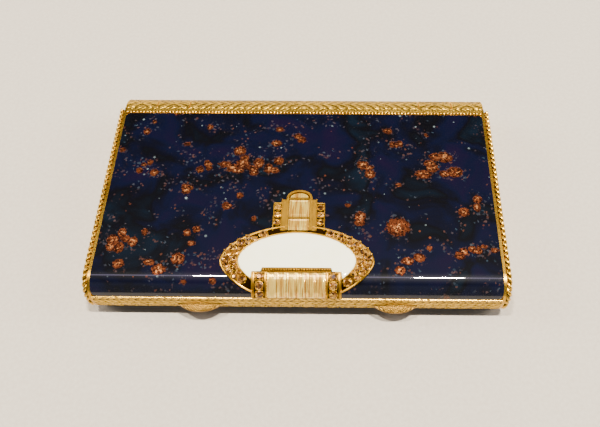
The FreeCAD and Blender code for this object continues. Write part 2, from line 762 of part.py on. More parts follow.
tubeLine = ("-tubeAcross", "tubeHigh")
tubeSkin = rod("tube_skin", "tubeRadius", "-tubeLeft", "tubeLength", tubeLine)
tubeHole = rod("tube_hole", "tubeBore", "-tubeLeft - 1", "tubeLength + 2", tubeLine)
slot = box("tube_slot", ("-slotLeft", "-tubeAcross - slotWidth / 2", "tubeHigh"),
           ("slotLength", "slotWidth", "tubeRadius + 1"))
keep(cut("tube_cut", tubeSkin, tubeHole, slot), "lipstick_tube")
keep(rod("tube_end", "tubeBore", "-tubeLeft", "capLength", tubeLine), "lipstick_end_cap")
cupSkin = rod("cup_skin", "cupRadius", "-cupLeft", "cupLength", tubeLine)
cupRoom = rod("cup_room", "stickRadius", "-cupLeft + cupFloor", "cupLength", tubeLine)
keep(cut("cup_cut", cupSkin, cupRoom), "lipstick_cup")
stickRod = rod("stick_rod", "stickRadius", "-cupLeft + cupFloor", "cupLeft - cupFloor + stickEnd", tubeLine)
slant = block("stick_slant", "XZ_Plane", [
    ("stickEnd - stickTip", "tubeHigh + stickRadius + tipPast"),
    ("stickEnd + tipPast", "tubeHigh + stickRadius + tipPast"),
    ("stickEnd + tipPast", "tubeHigh - tipLow"),
], "caseHeight * 4")
place(slant, ("0", "-tubeAcross", "0"))
keep(cut("stick_cut", stickRod, slant), "lipstick_stick")
knobBlock = box("knob_block", ("-slotLeft + coverGap", "-tubeAcross - knobWide / 2", "tubeHigh"),
                ("knobLong", "knobWide", "tubeRadius + knobHigh"))
keep(cut("knob_cut", knobBlock, rod("knob_clear", "cupRadius", "-tubeLeft", "tubeLength", tubeLine)),
     "lipstick_slide_knob")


def tubeRest(name, middle):
    saddle = box(name + "_block", ("%s - restLong / 2" % middle, "-tubeAcross - restHalf", floorTop),
                 ("restLong", "2 * restHalf", "restHigh - wall - floorGap"))
    hollow = rod(name + "_hollow", "tubeRadius + restFit", "-tubeLeft - restLong", "2 * tubeLeft", tubeLine)
    return cut(name, saddle, hollow)


keep(tubeRest("rest_left", "-restOneX"), "tube_rest_left")
keep(tubeRest("rest_right", "restTwoX"), "tube_rest_right")

doc.recompute()

for thing in doc.Objects:
    if "Invalid" in thing.State or "Error" in thing.State:
        raise RuntimeError("%s failed: %s" % (thing.Name, thing.State))

os.makedirs("parts", exist_ok=True)
for thing in subParts:
    shape = thing.Shape
    if shape.isNull() or not shape.isValid() or shape.Volume <= 0:
        raise RuntimeError("%s has no valid solid" % thing.Label)
    shape.exportStep("parts/%s.step" % thing.Label)
    print("%-22s solids %2d  volume %9.2f" % (thing.Label, len(shape.Solids), shape.Volume))
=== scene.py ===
import math
import random

import bpy
from mathutils import Matrix, Vector, noise


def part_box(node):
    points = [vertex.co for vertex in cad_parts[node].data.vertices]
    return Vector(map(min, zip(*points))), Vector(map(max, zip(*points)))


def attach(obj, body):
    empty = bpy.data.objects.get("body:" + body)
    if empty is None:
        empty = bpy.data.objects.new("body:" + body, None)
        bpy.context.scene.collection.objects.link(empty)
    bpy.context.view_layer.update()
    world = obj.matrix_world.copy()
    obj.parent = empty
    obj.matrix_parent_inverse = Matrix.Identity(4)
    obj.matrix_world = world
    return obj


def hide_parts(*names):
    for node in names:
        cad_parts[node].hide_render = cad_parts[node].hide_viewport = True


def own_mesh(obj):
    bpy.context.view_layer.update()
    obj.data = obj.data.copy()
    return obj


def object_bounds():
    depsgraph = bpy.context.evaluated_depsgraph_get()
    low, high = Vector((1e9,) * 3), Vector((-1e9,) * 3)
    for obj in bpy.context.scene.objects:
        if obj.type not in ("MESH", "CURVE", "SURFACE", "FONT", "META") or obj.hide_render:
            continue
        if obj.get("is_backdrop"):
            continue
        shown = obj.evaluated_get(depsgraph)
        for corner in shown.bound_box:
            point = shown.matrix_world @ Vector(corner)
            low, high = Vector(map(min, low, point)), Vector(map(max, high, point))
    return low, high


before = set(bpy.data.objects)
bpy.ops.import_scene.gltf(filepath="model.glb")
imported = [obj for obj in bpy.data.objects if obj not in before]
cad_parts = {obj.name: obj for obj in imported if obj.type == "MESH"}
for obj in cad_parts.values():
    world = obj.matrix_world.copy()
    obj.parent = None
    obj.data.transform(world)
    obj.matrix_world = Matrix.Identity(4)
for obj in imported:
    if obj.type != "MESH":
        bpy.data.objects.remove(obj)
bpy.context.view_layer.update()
mm = 0.001
print("frame loaded,", len(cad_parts), "nodes")

# the case's own measures, read from the frame, except rollRadius, which repeats the part's own value

lidLow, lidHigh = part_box("lid_shell")
enamelLow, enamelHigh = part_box("enamel_panel")
pinLow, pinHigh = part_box("hinge_pin")
barrelLow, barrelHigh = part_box("spine_centre")
ropeLow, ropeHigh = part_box("lid_rope_right")

rollRadius = 5.2 * mm
topZ = lidHigh.z
partingZ = (pinLow.z + pinHigh.z) / 2
frontY = lidLow.y
rollY = frontY + rollRadius
rollZ = topZ - rollRadius
spineY = (pinLow.y + pinHigh.y) / 2
spineRadius = (barrelHigh.z - barrelLow.z) / 2


def rollTurn(along):
    # how far the surface has turned down, in radians, at a distance forward of the origin
    return min(max(0.0, (along + rollY) / rollRadius), math.pi / 2)


def onLid(x, along, lift=0.0):
    # along runs forward over the flat top, down the roll and then down the front
    turn = rollTurn(along)
    below = max(0.0, along + rollY - rollRadius * math.pi / 2)
    y = -min(along, -rollY) - (rollRadius + lift) * math.sin(turn)
    z = rollZ + (rollRadius + lift) * math.cos(turn) - below
    return Vector((x, y, z))


def bowed(left, right, along, low, high):
    # the four corners of a section across a bar or a plate that lies on the lid
    return [onLid(left, along, low), onLid(left, along, high), onLid(right, along, high),
            onLid(right, along, low)]


def lidNormal(along):
    turn = rollTurn(along)
    return Vector((0, -math.sin(turn), math.cos(turn)))


def turned(point):
    # the same place on the base, which mirrors the lid
    return Vector((point.x, point.y, 2 * partingZ - point.z))


# mesh building

class Shape:
    # vertices, faces and a relief value for each vertex, gathered for one piece

    def __init__(self):
        self.verts, self.faces, self.relief = [], [], []

    def add(self, verts, faces, relief=None):
        start = len(self.verts)
        self.verts += [tuple(v) for v in verts]
        self.faces += [[start + i for i in face] for face in faces]
        self.relief += list(relief) if relief else [1.0] * len(verts)
        return self


def makePiece(name, shape, material, body, stands=(), sharp=35):
    mesh = bpy.data.meshes.new(name)
    mesh.from_pydata(shape.verts, [], shape.faces)
    mesh.validate()
    attribute = mesh.attributes.new("relief", "FLOAT", "POINT")
    attribute.data.foreach_set("value", shape.relief)
    mesh.polygons.foreach_set("use_smooth", [sharp > 0] * len(mesh.polygons))
    if sharp > 0:
        mesh.set_sharp_from_angle(angle=math.radians(sharp))
    piece = bpy.data.objects.new(name, mesh)
    bpy.context.scene.collection.objects.link(piece)
    mesh.materials.append(material)
    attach(piece, body)
    if stands:
        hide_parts(*stands)
    return piece


def circle(centre, side, other, radius, count, start=0.0):
    return [centre + radius * (math.cos(a) * side + math.sin(a) * other)
            for a in (start + 2 * math.pi * k / count for k in range(count))]


def loft(loops, twist=False, ring=False, caps=True):
    # skin between loops of equal count; twist makes triangles for loops turned half a step
    count = len(loops[0])
    verts = [p for loop in loops for p in loop]
    faces = []
    last = len(loops) if ring else len(loops) - 1
    for row in range(last):
        low, high = row * count, ((row + 1) % len(loops)) * count
        for i in range(count):
            j = (i + 1) % count
            if twist:
                faces += [[low + i, low + j, high + i], [low + j, high + j, high + i]]
            else:
                faces.append([low + i, low + j, high + j, high + i])
    if caps and not ring:
        faces += [list(range(count))[::-1], [(len(loops) - 1) * count + i for i in range(count)]]
    return verts, faces


def tube(points, normals, radius, sides=8, ring=False):
    loops = []
    for i, point in enumerate(points):
        before = points[i - 1] if i or ring else point
        after = points[(i + 1) % len(points)] if i < len(points) - 1 or ring else point
        run = (after - before).normalized()
        side = run.cross(normals[i]).normalized()
        up = side.cross(run)
        size = radius[i] if isinstance(radius, list) else radius
        loops.append(circle(point, up, side, size, sides))
    return loft(loops, ring=ring)


def bead(point, normal, radius, sides=7, low=-80):
    side = normal.orthogonal().normalized()
    other = normal.cross(side)
    loops = []
    for turn in (low, low / 2, 5, 45, 80):
        a = math.radians(turn)
        loops.append(circle(point + radius * math.sin(a) * normal, side, other, radius * math.cos(a),
                            sides))
    return loft(loops)


def closedSheet(outer, inner):
    # outer is a full grid; inner has only the first and last point of each row
    rows, cols = len(outer), len(outer[0])
    verts = [p for row in outer for p in row] + [p for row in inner for p in row]
    under = rows * cols
    faces = []
    for j in range(rows - 1):
        for i in range(cols - 1):
            a = j * cols + i
            faces.append([a, a + 1, a + cols + 1, a + cols])
        b = under + 2 * j
        faces.append([b, b + 2, b + 3, b + 1])
        faces.append([j * cols, (j + 1) * cols, b + 2, b])
        faces.append([j * cols + cols - 1, b + 1, b + 3, (j + 1) * cols + cols - 1])
    faces.append(list(range(cols))[::-1] + [under, under + 1])
    top = (rows - 1) * cols
    faces.append([top + i for i in range(cols)] + [under + 2 * rows - 1, under + 2 * rows - 2])
    return verts, faces


def spread(start, stop, step):
    count = max(1, round(abs(stop - start) / step))
    return [start + (stop - start) * i / count for i in range(count + 1)]


# materials

def linear(code):
    # sRGB hex to linear colour with alpha
    parts = [int(code[i:i + 2], 16) / 255 for i in (1, 3, 5)]
    return tuple(c / 12.92 if c <= 0.04045 else ((c + 0.055) / 1.055) ** 2.4 for c in parts) + (1.0,)


def addNode(tree, kind, inputs=None, stops=None, **settings):
    node = tree.nodes.new(kind)
    for key, value in settings.items():
        setattr(node, key, value)
    for key, value in (inputs or {}).items():
        if isinstance(value, bpy.types.NodeSocket):
            tree.links.new(value, node.inputs[key])
        else:
            node.inputs[key].default_value = value
    for i, (place, colour) in enumerate(stops or ()):
        ramp = node.color_ramp
        element = ramp.elements[i] if i < 2 else ramp.elements.new(place)
        element.position = place
        element.color = colour
    return node


def startMaterial(name):
    material = bpy.data.materials.new(name)
    material.use_nodes = True
    tree = material.node_tree
    tree.nodes.clear()
    place = addNode(tree, "ShaderNodeTexCoord").outputs["Object"]
    return material, tree, place


def endMaterial(tree, inputs):
    shader = addNode(tree, "ShaderNodeBsdfPrincipled", inputs)
    addNode(tree, "ShaderNodeOutputMaterial", {"Surface": shader.outputs["BSDF"]})
    return shader


# yellow gold, its carat a guess: a warm mirror broken by fine rub marks; with shadedHollows, painted shade
# darkens the recesses
goldLook = {
    "high": "#DFB03E",
    "low": "#B0842A",
    "roughLow": 0.2,
    "roughHigh": 0.36,
    "rubMark": 0.25 * mm,
    "cloud": 6 * mm,
}


def makeGold(name, look, shadedHollows=False, brush=None):
    material, tree, place = startMaterial(name)
    cloud = addNode(tree, "ShaderNodeTexNoise",
                    {"Vector": place, "Scale": 1 / look["cloud"], "Detail": 4.0})
    fine = addNode(tree, "ShaderNodeTexNoise",
                   {"Vector": place, "Scale": 1 / look["rubMark"], "Detail": 3.0})
    tone = addNode(tree, "ShaderNodeMapRange",
                   {"Value": cloud.outputs["Fac"], "From Min": 0.3, "From Max": 0.65})
    amount = tone.outputs["Result"]
    if shadedHollows:
        # painted shade: where the relief attribute is low, in cuts, grooves and between wires, the colour
        # falls to the dark low end
        relief = addNode(tree, "ShaderNodeAttribute", attribute_name="relief")
        raised = addNode(tree, "ShaderNodeMapRange",
                         {"Value": relief.outputs["Fac"], "From Min": 0.12, "From Max": 0.88})
        shaded = addNode(tree, "ShaderNodeMath", {0: amount, 1: 0.3, 2: 0.7}, operation="MULTIPLY_ADD")
        paintedHollowShade = addNode(tree, "ShaderNodeMath", {0: shaded.outputs[0], 1: raised.outputs["Result"]},
                           operation="MULTIPLY")
        amount = paintedHollowShade.outputs[0]
    colour = addNode(tree, "ShaderNodeValToRGB", {"Fac": amount},
                     stops=[(0.0, linear(look["low"])), (1.0, linear(look["high"]))])
    rough = addNode(tree, "ShaderNodeMapRange",
                    {"Value": fine.outputs["Fac"], "From Min": 0.3, "From Max": 0.7,
                                                "To Min": look["roughLow"], "To Max": look["roughHigh"]})
    height = fine.outputs["Fac"]
    if brush:
        stretch = addNode(tree, "ShaderNodeVectorMath", {0: place, 1: brush}, operation="MULTIPLY")
        lines = addNode(tree, "ShaderNodeTexNoise",
                        {"Vector": stretch.outputs[0], "Scale": 1.0, "Detail": 2.0})
        height = lines.outputs["Fac"]
    bump = addNode(tree, "ShaderNodeBump", {"Height": height, "Strength": 0.12, "Distance": 0.05 * mm})
    endMaterial(tree, {"Base Color": colour.outputs["Color"], "Metallic": 1.0,
                       "Roughness": rough.outputs["Result"], "Normal": bump.outputs["Normal"]})
    return material


polishedGold = makeGold("polished_gold", goldLook)
# setting, engraved, wire and pale gold paint shade into their recesses: their dark low colour is painted
# shade
settingGold = makeGold("setting_gold",
                       {**goldLook, "high": "#C09028", "low": "#261705", "roughLow": 0.28,
                        "roughHigh": 0.42},
                       shadedHollows=True)
engravedGold = makeGold("engraved_gold",
                        {**goldLook, "high": "#F0C044", "low": "#1E1002", "roughLow": 0.24,
                         "roughHigh": 0.38},
                        shadedHollows=True)
wireGold = makeGold("twisted_wire_gold", {**goldLook, "low": "#241404"}, shadedHollows=True)
brushedGold = makeGold("brushed_gold", {**goldLook, "high": "#EABF58", "low": "#D2A03E", "roughHigh": 0.42},
                       brush=(120, 9000, 900))
paleGold = makeGold("pale_gold",
                    {**goldLook, "high": "#CFA044", "low": "#34200A", "roughLow": 0.28, "roughHigh": 0.4},
                    shadedHollows=True)
springSteel = makeGold("spring_steel", {**goldLook, "high": "#C9CCD0", "low": "#8D9196"},
                       brush=(4000, 900, 900))

# vitreous enamel over gold, with copper avventurine melted into it: the base is nearly black with blue
# and violet depths, the copper lies under a flat clear coat and glitters facet by facet, from tilted
# metallic facets and from its tone painted crystal by crystal as glint
enamelLook = {
    "dark": "#020206",
    "blue": "#02051A",
    "violet": "#09041B",
    "teal": "#030C18",
    "copperLow": "#220D07",
    "copperMid": "#63331C",
    "copperHigh": "#B47C4E",
    "dustCopper": "#40241A",
    "dustBlue": "#1E2C38",
    "dust": 0.45 * mm,
    "speck": "#5E6C70",
    "speckViolet": "#5A4A74",
    "patch": 11 * mm,
    "crystal": 0.36 * mm,
    "ragged": 0.7 * mm,
    "speckSpace": 1.7 * mm,
}


def makeEnamel(name, look):
    material, tree, place = startMaterial(name)
    depth = addNode(tree, "ShaderNodeTexNoise", {"Vector": place, "Scale": 1 / look["patch"], "Detail": 3.0,
                                                "Distortion": 0.6})
    base = addNode(tree, "ShaderNodeValToRGB", {"Fac": depth.outputs["Fac"]},
                   stops=[(0.30, linear(look["teal"])), (0.42, linear(look["dark"])),
                          (0.54, linear(look["blue"])), (0.70, linear(look["violet"]))])
    crystals = addNode(tree, "ShaderNodeTexVoronoi", {"Vector": place, "Scale": 1 / look["crystal"]})
    ragged = addNode(tree, "ShaderNodeTexNoise",
                     {"Vector": place, "Scale": 1 / look["ragged"], "Detail": 2.0})
    field = addNode(tree, "ShaderNodeAttribute", attribute_name="relief")
    edge = addNode(tree, "ShaderNodeMath", {0: ragged.outputs["Fac"], 1: 0.36, 2: field.outputs["Fac"]},
                   operation="MULTIPLY_ADD")
    flake = addNode(tree, "ShaderNodeMapRange",
                    {"Value": edge.outputs[0], "From Min": 0.63, "From Max": 0.70})
    # painted glint: each crystal of a flake gets its own brightness, from copperLow to copperHigh
    glint = addNode(tree, "ShaderNodeSeparateColor", {"Color": crystals.outputs["Color"]})
    nearTop = addNode(tree, "ShaderNodeMapRange",
                      {"Value": field.outputs["Fac"], "From Min": 0.45, "From Max": 0.85,
                                                  "To Min": 0.45, "To Max": 1.05})
    lit = addNode(tree, "ShaderNodeMath", {0: glint.outputs[0], 1: nearTop.outputs["Result"]},
                  operation="MULTIPLY")
    copper = addNode(tree, "ShaderNodeValToRGB", {"Fac": lit.outputs[0]},
                     stops=[(0.10, linear(look["copperLow"])), (0.60, linear(look["copperMid"])),
                            (1.0, linear(look["copperHigh"]))])
    specks = addNode(tree, "ShaderNodeTexVoronoi", {"Vector": place, "Scale": 1 / look["speckSpace"]})
    speckSize = addNode(tree, "ShaderNodeSeparateColor", {"Color": specks.outputs["Color"]})
    reach = addNode(tree, "ShaderNodeMapRange",
                    {"Value": speckSize.outputs[1], "From Min": 0.68, "From Max": 1.0,
                                                "To Min": 0.0, "To Max": 0.2})
    near = addNode(tree, "ShaderNodeMath", {0: specks.outputs["Distance"], 1: reach.outputs["Result"]},
                   operation="LESS_THAN")
    speckTone = addNode(tree, "ShaderNodeValToRGB", {"Fac": speckSize.outputs[2]},
                        stops=[(0.35, linear(look["speck"])), (0.6, linear(look["speckViolet"])),
                               (0.8, linear(look["copperMid"]))])
    dim = addNode(tree, "ShaderNodeMath", {0: near.outputs[0], 1: speckSize.outputs[0]},
                  operation="MULTIPLY")
    withSpecks = addNode(tree, "ShaderNodeMixRGB", {"Fac": dim.outputs[0], "Color1": base.outputs["Color"],
                                                   "Color2": speckTone.outputs["Color"]})
    # fine dust gathers round the flakes and in drifts between them
    dust = addNode(tree, "ShaderNodeTexVoronoi", {"Vector": place, "Scale": 1 / look["dust"]})
    dustPick = addNode(tree, "ShaderNodeSeparateColor", {"Color": dust.outputs["Color"]})
    drift = addNode(tree, "ShaderNodeTexNoise",
                    {"Vector": place, "Scale": 2.4 / look["patch"], "Detail": 3.0})
    drifting = addNode(tree, "ShaderNodeMath", {0: field.outputs["Fac"], 1: 0.55, 2: drift.outputs["Fac"]},
                       operation="MULTIPLY_ADD")
    dense = addNode(tree, "ShaderNodeMapRange",
                    {"Value": drifting.outputs[0], "From Min": 0.48, "From Max": 0.78,
                                                "To Min": 0.0, "To Max": 0.34})
    chosen = addNode(tree, "ShaderNodeMath", {0: dustPick.outputs[0], 1: dense.outputs["Result"]},
                     operation="LESS_THAN")
    grain = addNode(tree, "ShaderNodeMath", {0: chosen.outputs[0], 1: dustPick.outputs[2]},
                    operation="MULTIPLY")
    dustTone = addNode(tree, "ShaderNodeMixRGB",
                       {"Fac": dustPick.outputs[1], "Color1": linear(look["dustCopper"]),
                                                 "Color2": linear(look["dustBlue"])})
    dusted = addNode(tree, "ShaderNodeMixRGB",
                     {"Fac": grain.outputs[0], "Color1": withSpecks.outputs["Color"],
                                               "Color2": dustTone.outputs["Color"]})
    colour = addNode(tree, "ShaderNodeMixRGB", {"Fac": flake.outputs["Result"],
                                               "Color1": dusted.outputs["Color"],
                                               "Color2": copper.outputs["Color"]})
    metal = addNode(tree, "ShaderNodeMath", {0: flake.outputs["Result"], 1: 0.75}, operation="MULTIPLY")
    tilt = addNode(tree, "ShaderNodeMath", {0: glint.outputs[1], 1: flake.outputs["Result"]},
                   operation="MULTIPLY")
    bump = addNode(tree, "ShaderNodeBump",
                   {"Height": tilt.outputs[0], "Strength": 0.8, "Distance": 0.25 * mm})
    endMaterial(tree, {"Base Color": colour.outputs["Color"], "Metallic": metal.outputs[0],
                       "Roughness": 0.42,
                       "Specular IOR Level": 0.05, "IOR": 1.5, "Coat Weight": 1.0, "Coat Roughness": 0.02,
                       "Coat IOR": 1.5, "Normal": bump.outputs["Normal"]})
    return material


enamel = makeEnamel("avventurine_enamel", enamelLook)

# white agate, domed and glass-polished: faint milky clouding under a clean gloss
agateLook = {"milk": "#FFFFE6", "cloud": "#FCFCDC", "patch": 3.5 * mm, "polish": 0.07}
whiteAgate, tree, place = startMaterial("white_agate")
milky = addNode(tree, "ShaderNodeTexNoise",
                {"Vector": place, "Scale": 1 / agateLook["patch"], "Detail": 5.0})
milkTone = addNode(tree, "ShaderNodeValToRGB", {"Fac": milky.outputs["Fac"]},
                   stops=[(0.3, linear(agateLook["cloud"])), (0.6, linear(agateLook["milk"]))])
endMaterial(tree, {"Base Color": milkTone.outputs["Color"], "Roughness": agateLook["polish"], "IOR": 1.54,
                   "Subsurface Weight": 0.15, "Subsurface Scale": 0.6 * mm,
                   "Subsurface Radius": (1.0, 0.95, 0.8), "Coat Weight": 0.4, "Coat Roughness": 0.03})

# old-cut stones backed with gold foil, of a gold-brown body: the tone that differs facet by facet, from deep
# to a pale light, is painted reflection under a hard clear gloss
stoneLook = {"deep": "#2C1804", "body": "#86561A", "light": "#E0AC48", "facet": (1 / (0.5 * mm),) * 3,
             "share": 0.62,
             "gloss": 0.5}
# long step-cut stones: the same, but paler, with painted reflection streaked along their length
baguetteLook = {"deep": "#C08834", "body": "#EBBC4C", "light": "#FAE074", "facet": (4200, 200, 200),
                "share": 0.4,
                "gloss": 0.7}


def makeStone(name, look):
    material, tree, place = startMaterial(name)
    stretch = addNode(tree, "ShaderNodeVectorMath", {0: place, 1: look["facet"]}, operation="MULTIPLY")
    fire = addNode(tree, "ShaderNodeTexVoronoi", {"Vector": stretch.outputs[0], "Scale": 1.0})
    pick = addNode(tree, "ShaderNodeSeparateColor", {"Color": fire.outputs["Color"]})
    # painted reflection: each facet cell takes its own tone, dark to pale
    tone = addNode(tree, "ShaderNodeValToRGB", {"Fac": pick.outputs[0]},
                   stops=[(0.08, linear(look["deep"])), (look["share"], linear(look["body"])),
                          (0.95, linear(look["light"]))])
    bump = addNode(tree, "ShaderNodeBump",
                   {"Height": pick.outputs[1], "Strength": 0.35, "Distance": 0.2 * mm})
    endMaterial(tree, {"Base Color": tone.outputs["Color"], "Metallic": 0.6, "Roughness": 0.16,
                       "Coat Weight": look["gloss"],
                       "Coat Roughness": 0.03, "Coat IOR": 1.6, "Normal": bump.outputs["Normal"]})
    return material


cutStone = makeStone("foiled_round_stone", stoneLook)
baguetteStone = makeStone("foiled_baguette", baguetteLook)

# front-silvered plate glass: even mirror with a trace of haze
mirrorGlass, tree, place = startMaterial("silvered_glass")
haze = addNode(tree, "ShaderNodeTexNoise", {"Vector": place, "Scale": 1 / (9 * mm), "Detail": 6.0})
hazeTone = addNode(tree, "ShaderNodeValToRGB", {"Fac": haze.outputs["Fac"]},
                   stops=[(0.3, linear("#D9DEDF")), (0.7, linear("#F1F4F4"))])
endMaterial(tree, {"Base Color": hazeTone.outputs["Color"], "Metallic": 1.0, "Roughness": 0.03})

# pressed face powder: dry, chalky, with the weave of the press cloth
facePowder, tree, place = startMaterial("pressed_powder")
grains = addNode(tree, "ShaderNodeTexNoise", {"Vector": place, "Scale": 1 / (0.3 * mm), "Detail": 5.0})
powderTone = addNode(tree, "ShaderNodeValToRGB", {"Fac": grains.outputs["Fac"]},
                     stops=[(0.3, linear("#CFA184")), (0.7, linear("#E9C6AC"))])
powderBump = addNode(tree, "ShaderNodeBump",
                     {"Height": grains.outputs["Fac"], "Strength": 0.5, "Distance": 0.1 * mm})
endMaterial(tree, {"Base Color": powderTone.outputs["Color"], "Roughness": 0.95,
                   "Normal": powderBump.outputs["Normal"]})

# moulded lipstick wax: satin skin, slightly translucent
lipWax, tree, place = startMaterial("lipstick_wax")
waxy = addNode(tree, "ShaderNodeTexNoise", {"Vector": place, "Scale": 1 / (1.2 * mm), "Detail": 4.0})
waxTone = addNode(tree, "ShaderNodeValToRGB", {"Fac": waxy.outputs["Fac"]},
                  stops=[(0.3, linear("#7E0D16")), (0.7, linear("#A81722"))])
endMaterial(tree, {"Base Color": waxTone.outputs["Color"], "Roughness": 0.38, "Subsurface Weight": 0.1,
                   "Subsurface Scale": 0.5 * mm, "Sheen Weight": 0.1})
print("materials made")

# camera, floor and light

cameraLook = {"place": (9.4 * mm, -82.4 * mm, 139.9 * mm), "down": 59.6, "turn": 1.0, "lean": -0.4,
              "lens": 37.8, "shift": -0.056}
camera = bpy.data.cameras.new("camera")
camera.lens = cameraLook["lens"]
camera.sensor_width = 36
camera.shift_x = cameraLook["shift"]
camera.clip_start = 0.005
cameraObject = bpy.data.objects.new("camera", camera)
bpy.context.scene.collection.objects.link(cameraObject)
cameraObject.matrix_world = (Matrix.Translation(cameraLook["place"])
                             @ Matrix.Rotation(math.radians(cameraLook["turn"]), 4, "Z")
                             @ Matrix.Rotation(math.radians(90 - cameraLook["down"]), 4, "X")
                             @ Matrix.Rotation(math.radians(cameraLook["lean"]), 4, "Z"))
bpy.context.scene.camera = cameraObject

floorLook = {"half": 3.0, "pale": "#BFB8AE", "shade": "#B6AEA3", "grain": 0.9 * mm}
floorMesh = bpy.data.meshes.new("floor")
far = floorLook["half"]
floorMesh.from_pydata([(-far, -far, 0), (far, -far, 0), (far, far, 0), (-far, far, 0)], [], [(0, 1, 2, 3)])
floor = bpy.data.objects.new("floor", floorMesh)
floor.location.z = -0.02 * mm
bpy.context.scene.collection.objects.link(floor)
paleCloth, tree, place = startMaterial("pale_board")
nap = addNode(tree, "ShaderNodeTexNoise", {"Vector": place, "Scale": 1 / floorLook["grain"], "Detail": 3.0})
napTone = addNode(tree, "ShaderNodeValToRGB", {"Fac": nap.outputs["Fac"]},
                  stops=[(0.3, linear(floorLook["shade"])), (0.7, linear(floorLook["pale"]))])
endMaterial(tree, {"Base Color": napTone.outputs["Color"], "Roughness": 0.9})
floorMesh.materials.append(paleCloth)
floor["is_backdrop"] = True


def addLamp(name, place, aim, size, watts, warmth):
    light = bpy.data.lights.new(name, "AREA")
    light.shape = "RECTANGLE"
    light.size, light.size_y = size
    light.energy = watts
    light.color = linear(warmth)[:3]
    lamp = bpy.data.objects.new(name, light)
    lamp.location = place
    if aim:      # otherwise straight down
        lamp.rotation_euler = (Vector(aim) - Vector(place)).to_track_quat("-Z", "Y").to_euler()
    bpy.context.scene.collection.objects.link(lamp)


# two small ceiling lamps give the two bright lines on the roll; wide boxes at the sides light the ropes
addLamp("lamp_left", (-0.221, -0.02, 1.0), None, (0.06, 0.02), 13, "#FFF4E0")
addLamp("lamp_right", (0.188, -0.02, 1.0), None, (0.088, 0.02), 24, "#FFF4E0")
addLamp("strip_top", (0, -0.02, 1.0), (0, 0, 0), (1.5, 0.1), 2, "#D8C8F0")
addLamp("soft_rear", (0, 0.85, 0.3), (0, 0, 0), (1.2, 0.2), 3, "#FFF0D0")
addLamp("soft_right", (0.9, 0.1, 0.5), (0, 0, 0), (0.4, 0.5), 9, "#FFF7EC")
addLamp("soft_left", (-0.9, 0.15, 0.5), (0, 0, 0), (0.4, 0.5), 9, "#FFF7EC")

# pale room with a dark card behind and above the case, which keeps the flat enamel deep
roomLook = {"tone": "#F4F1EC", "bright": 0.34, "dark": 0.01, "card": 79, "inner": 42, "outer": 60}
world = bpy.data.worlds.new("room")
bpy.context.scene.world = world
world.use_nodes = True
roomTree = world.node_tree
roomTree.nodes.clear()
way = addNode(roomTree, "ShaderNodeTexCoord").outputs["Generated"]
cardUp = math.radians(roomLook["card"])
facing = addNode(roomTree, "ShaderNodeVectorMath", {0: way, 1: (0.0, math.cos(cardUp), math.sin(cardUp))},
                 operation="DOT_PRODUCT")
level = addNode(roomTree, "ShaderNodeMapRange", {
    "Value": facing.outputs["Value"],
    "From Min": math.cos(math.radians(roomLook["inner"])),
    "From Max": math.cos(math.radians(roomLook["outer"])),
    "To Min": roomLook["dark"], "To Max": roomLook["bright"]}, interpolation_type="SMOOTHSTEP")
backdrop = addNode(roomTree, "ShaderNodeBackground",
                   {"Color": linear(roomLook["tone"]), "Strength": level.outputs["Result"]})
addNode(roomTree, "ShaderNodeOutputWorld", {"Surface": backdrop.outputs["Background"]})
print("camera, floor and lamps set")

# enamel panels

# copper avventurine falls in loose groups: where a group lies, in shares of the panel's half width and of
# its depth from the rear edge, how many flakes it has, how far they stray and how large they are, in mm
flakeGroups = [
    (-0.30, 0.30, 12, 3.4, 1.7),
    (-0.10, 0.15, 4, 2.4, 1.3),
    (-0.55, 0.30, 4, 2.6, 1.1),
    (-0.70, 0.10, 3, 3.0, 1.0),
    (-0.85, 0.35, 4, 2.4, 1.0),
    (-0.85, 0.75, 7, 2.6, 1.4),
    (-0.60, 0.50, 3, 2.6, 1.3),
    (-0.65, 0.85, 3, 2.0, 1.5),
    (-0.50, 0.70, 3, 2.0, 1.2),
    (-0.35, 0.50, 2, 2.0, 1.2),
    (0.35, 0.30, 4, 1.8, 1.5),
    (0.50, 0.15, 4, 2.2, 1.1),
    (0.75, 0.30, 9, 3.0, 1.9),
    (0.85, 0.55, 3, 2.4, 1.3),
    (0.30, 0.60, 2, 0.8, 1.8),
    (0.50, 0.65, 1, 0.0, 3.6),
    (0.85, 0.80, 4, 2.2, 1.3),
    (0.55, 0.85, 3, 2.4, 1.3),
]
panelLook = {"grid": 0.3 * mm, "thick": 0.35 * mm, "corner": 1.3 * mm, "under": 0.05 * mm, "seed": 7,
             "lidSeed": 12, "strays": 14}
panelStart = -enamelHigh.y
panelEnd = -rollY + rollRadius * math.asin((rollY - enamelLow.y) / rollRadius)


def flakeField(x, depth, flakes):
    # 0.5 at a flake's edge, more inside; lower along the seam where two flakes meet
    best, second = -1.0, -1.0
    for across, along, wide, deep in flakes:
        dx, dy = (x / mm - across) / wide, (depth / mm - along) / deep
        if abs(dx) < 2 and abs(dy) < 2:
            here = (1.0 - math.hypot(dx, dy)) * min(1.0, (wide + deep) / 2.6)
            best, second = max(best, here), max(second, min(best, here))
    seam = 0.12 * math.exp(-((best - second) / 0.1) ** 2) if second > -0.5 else 0.0
    return max(0.0, 0.5 + 0.5 * best - seam)


def randomFlakes(seed, count, wide, deep):
    # small groups of flakes strewn at random, for the side that is not seen closed
    pick = random.Random(seed)
    made = []
    while len(made) < count:
        x, y = pick.uniform(-wide, wide), pick.uniform(2, deep)
        for _ in range(pick.randint(1, 5)):
            made.append((x + pick.gauss(0, 1.8), y + pick.gauss(0, 1.8), pick.uniform(0.6, 2.1),
                         pick.uniform(0.6, 1.8)))
    return made


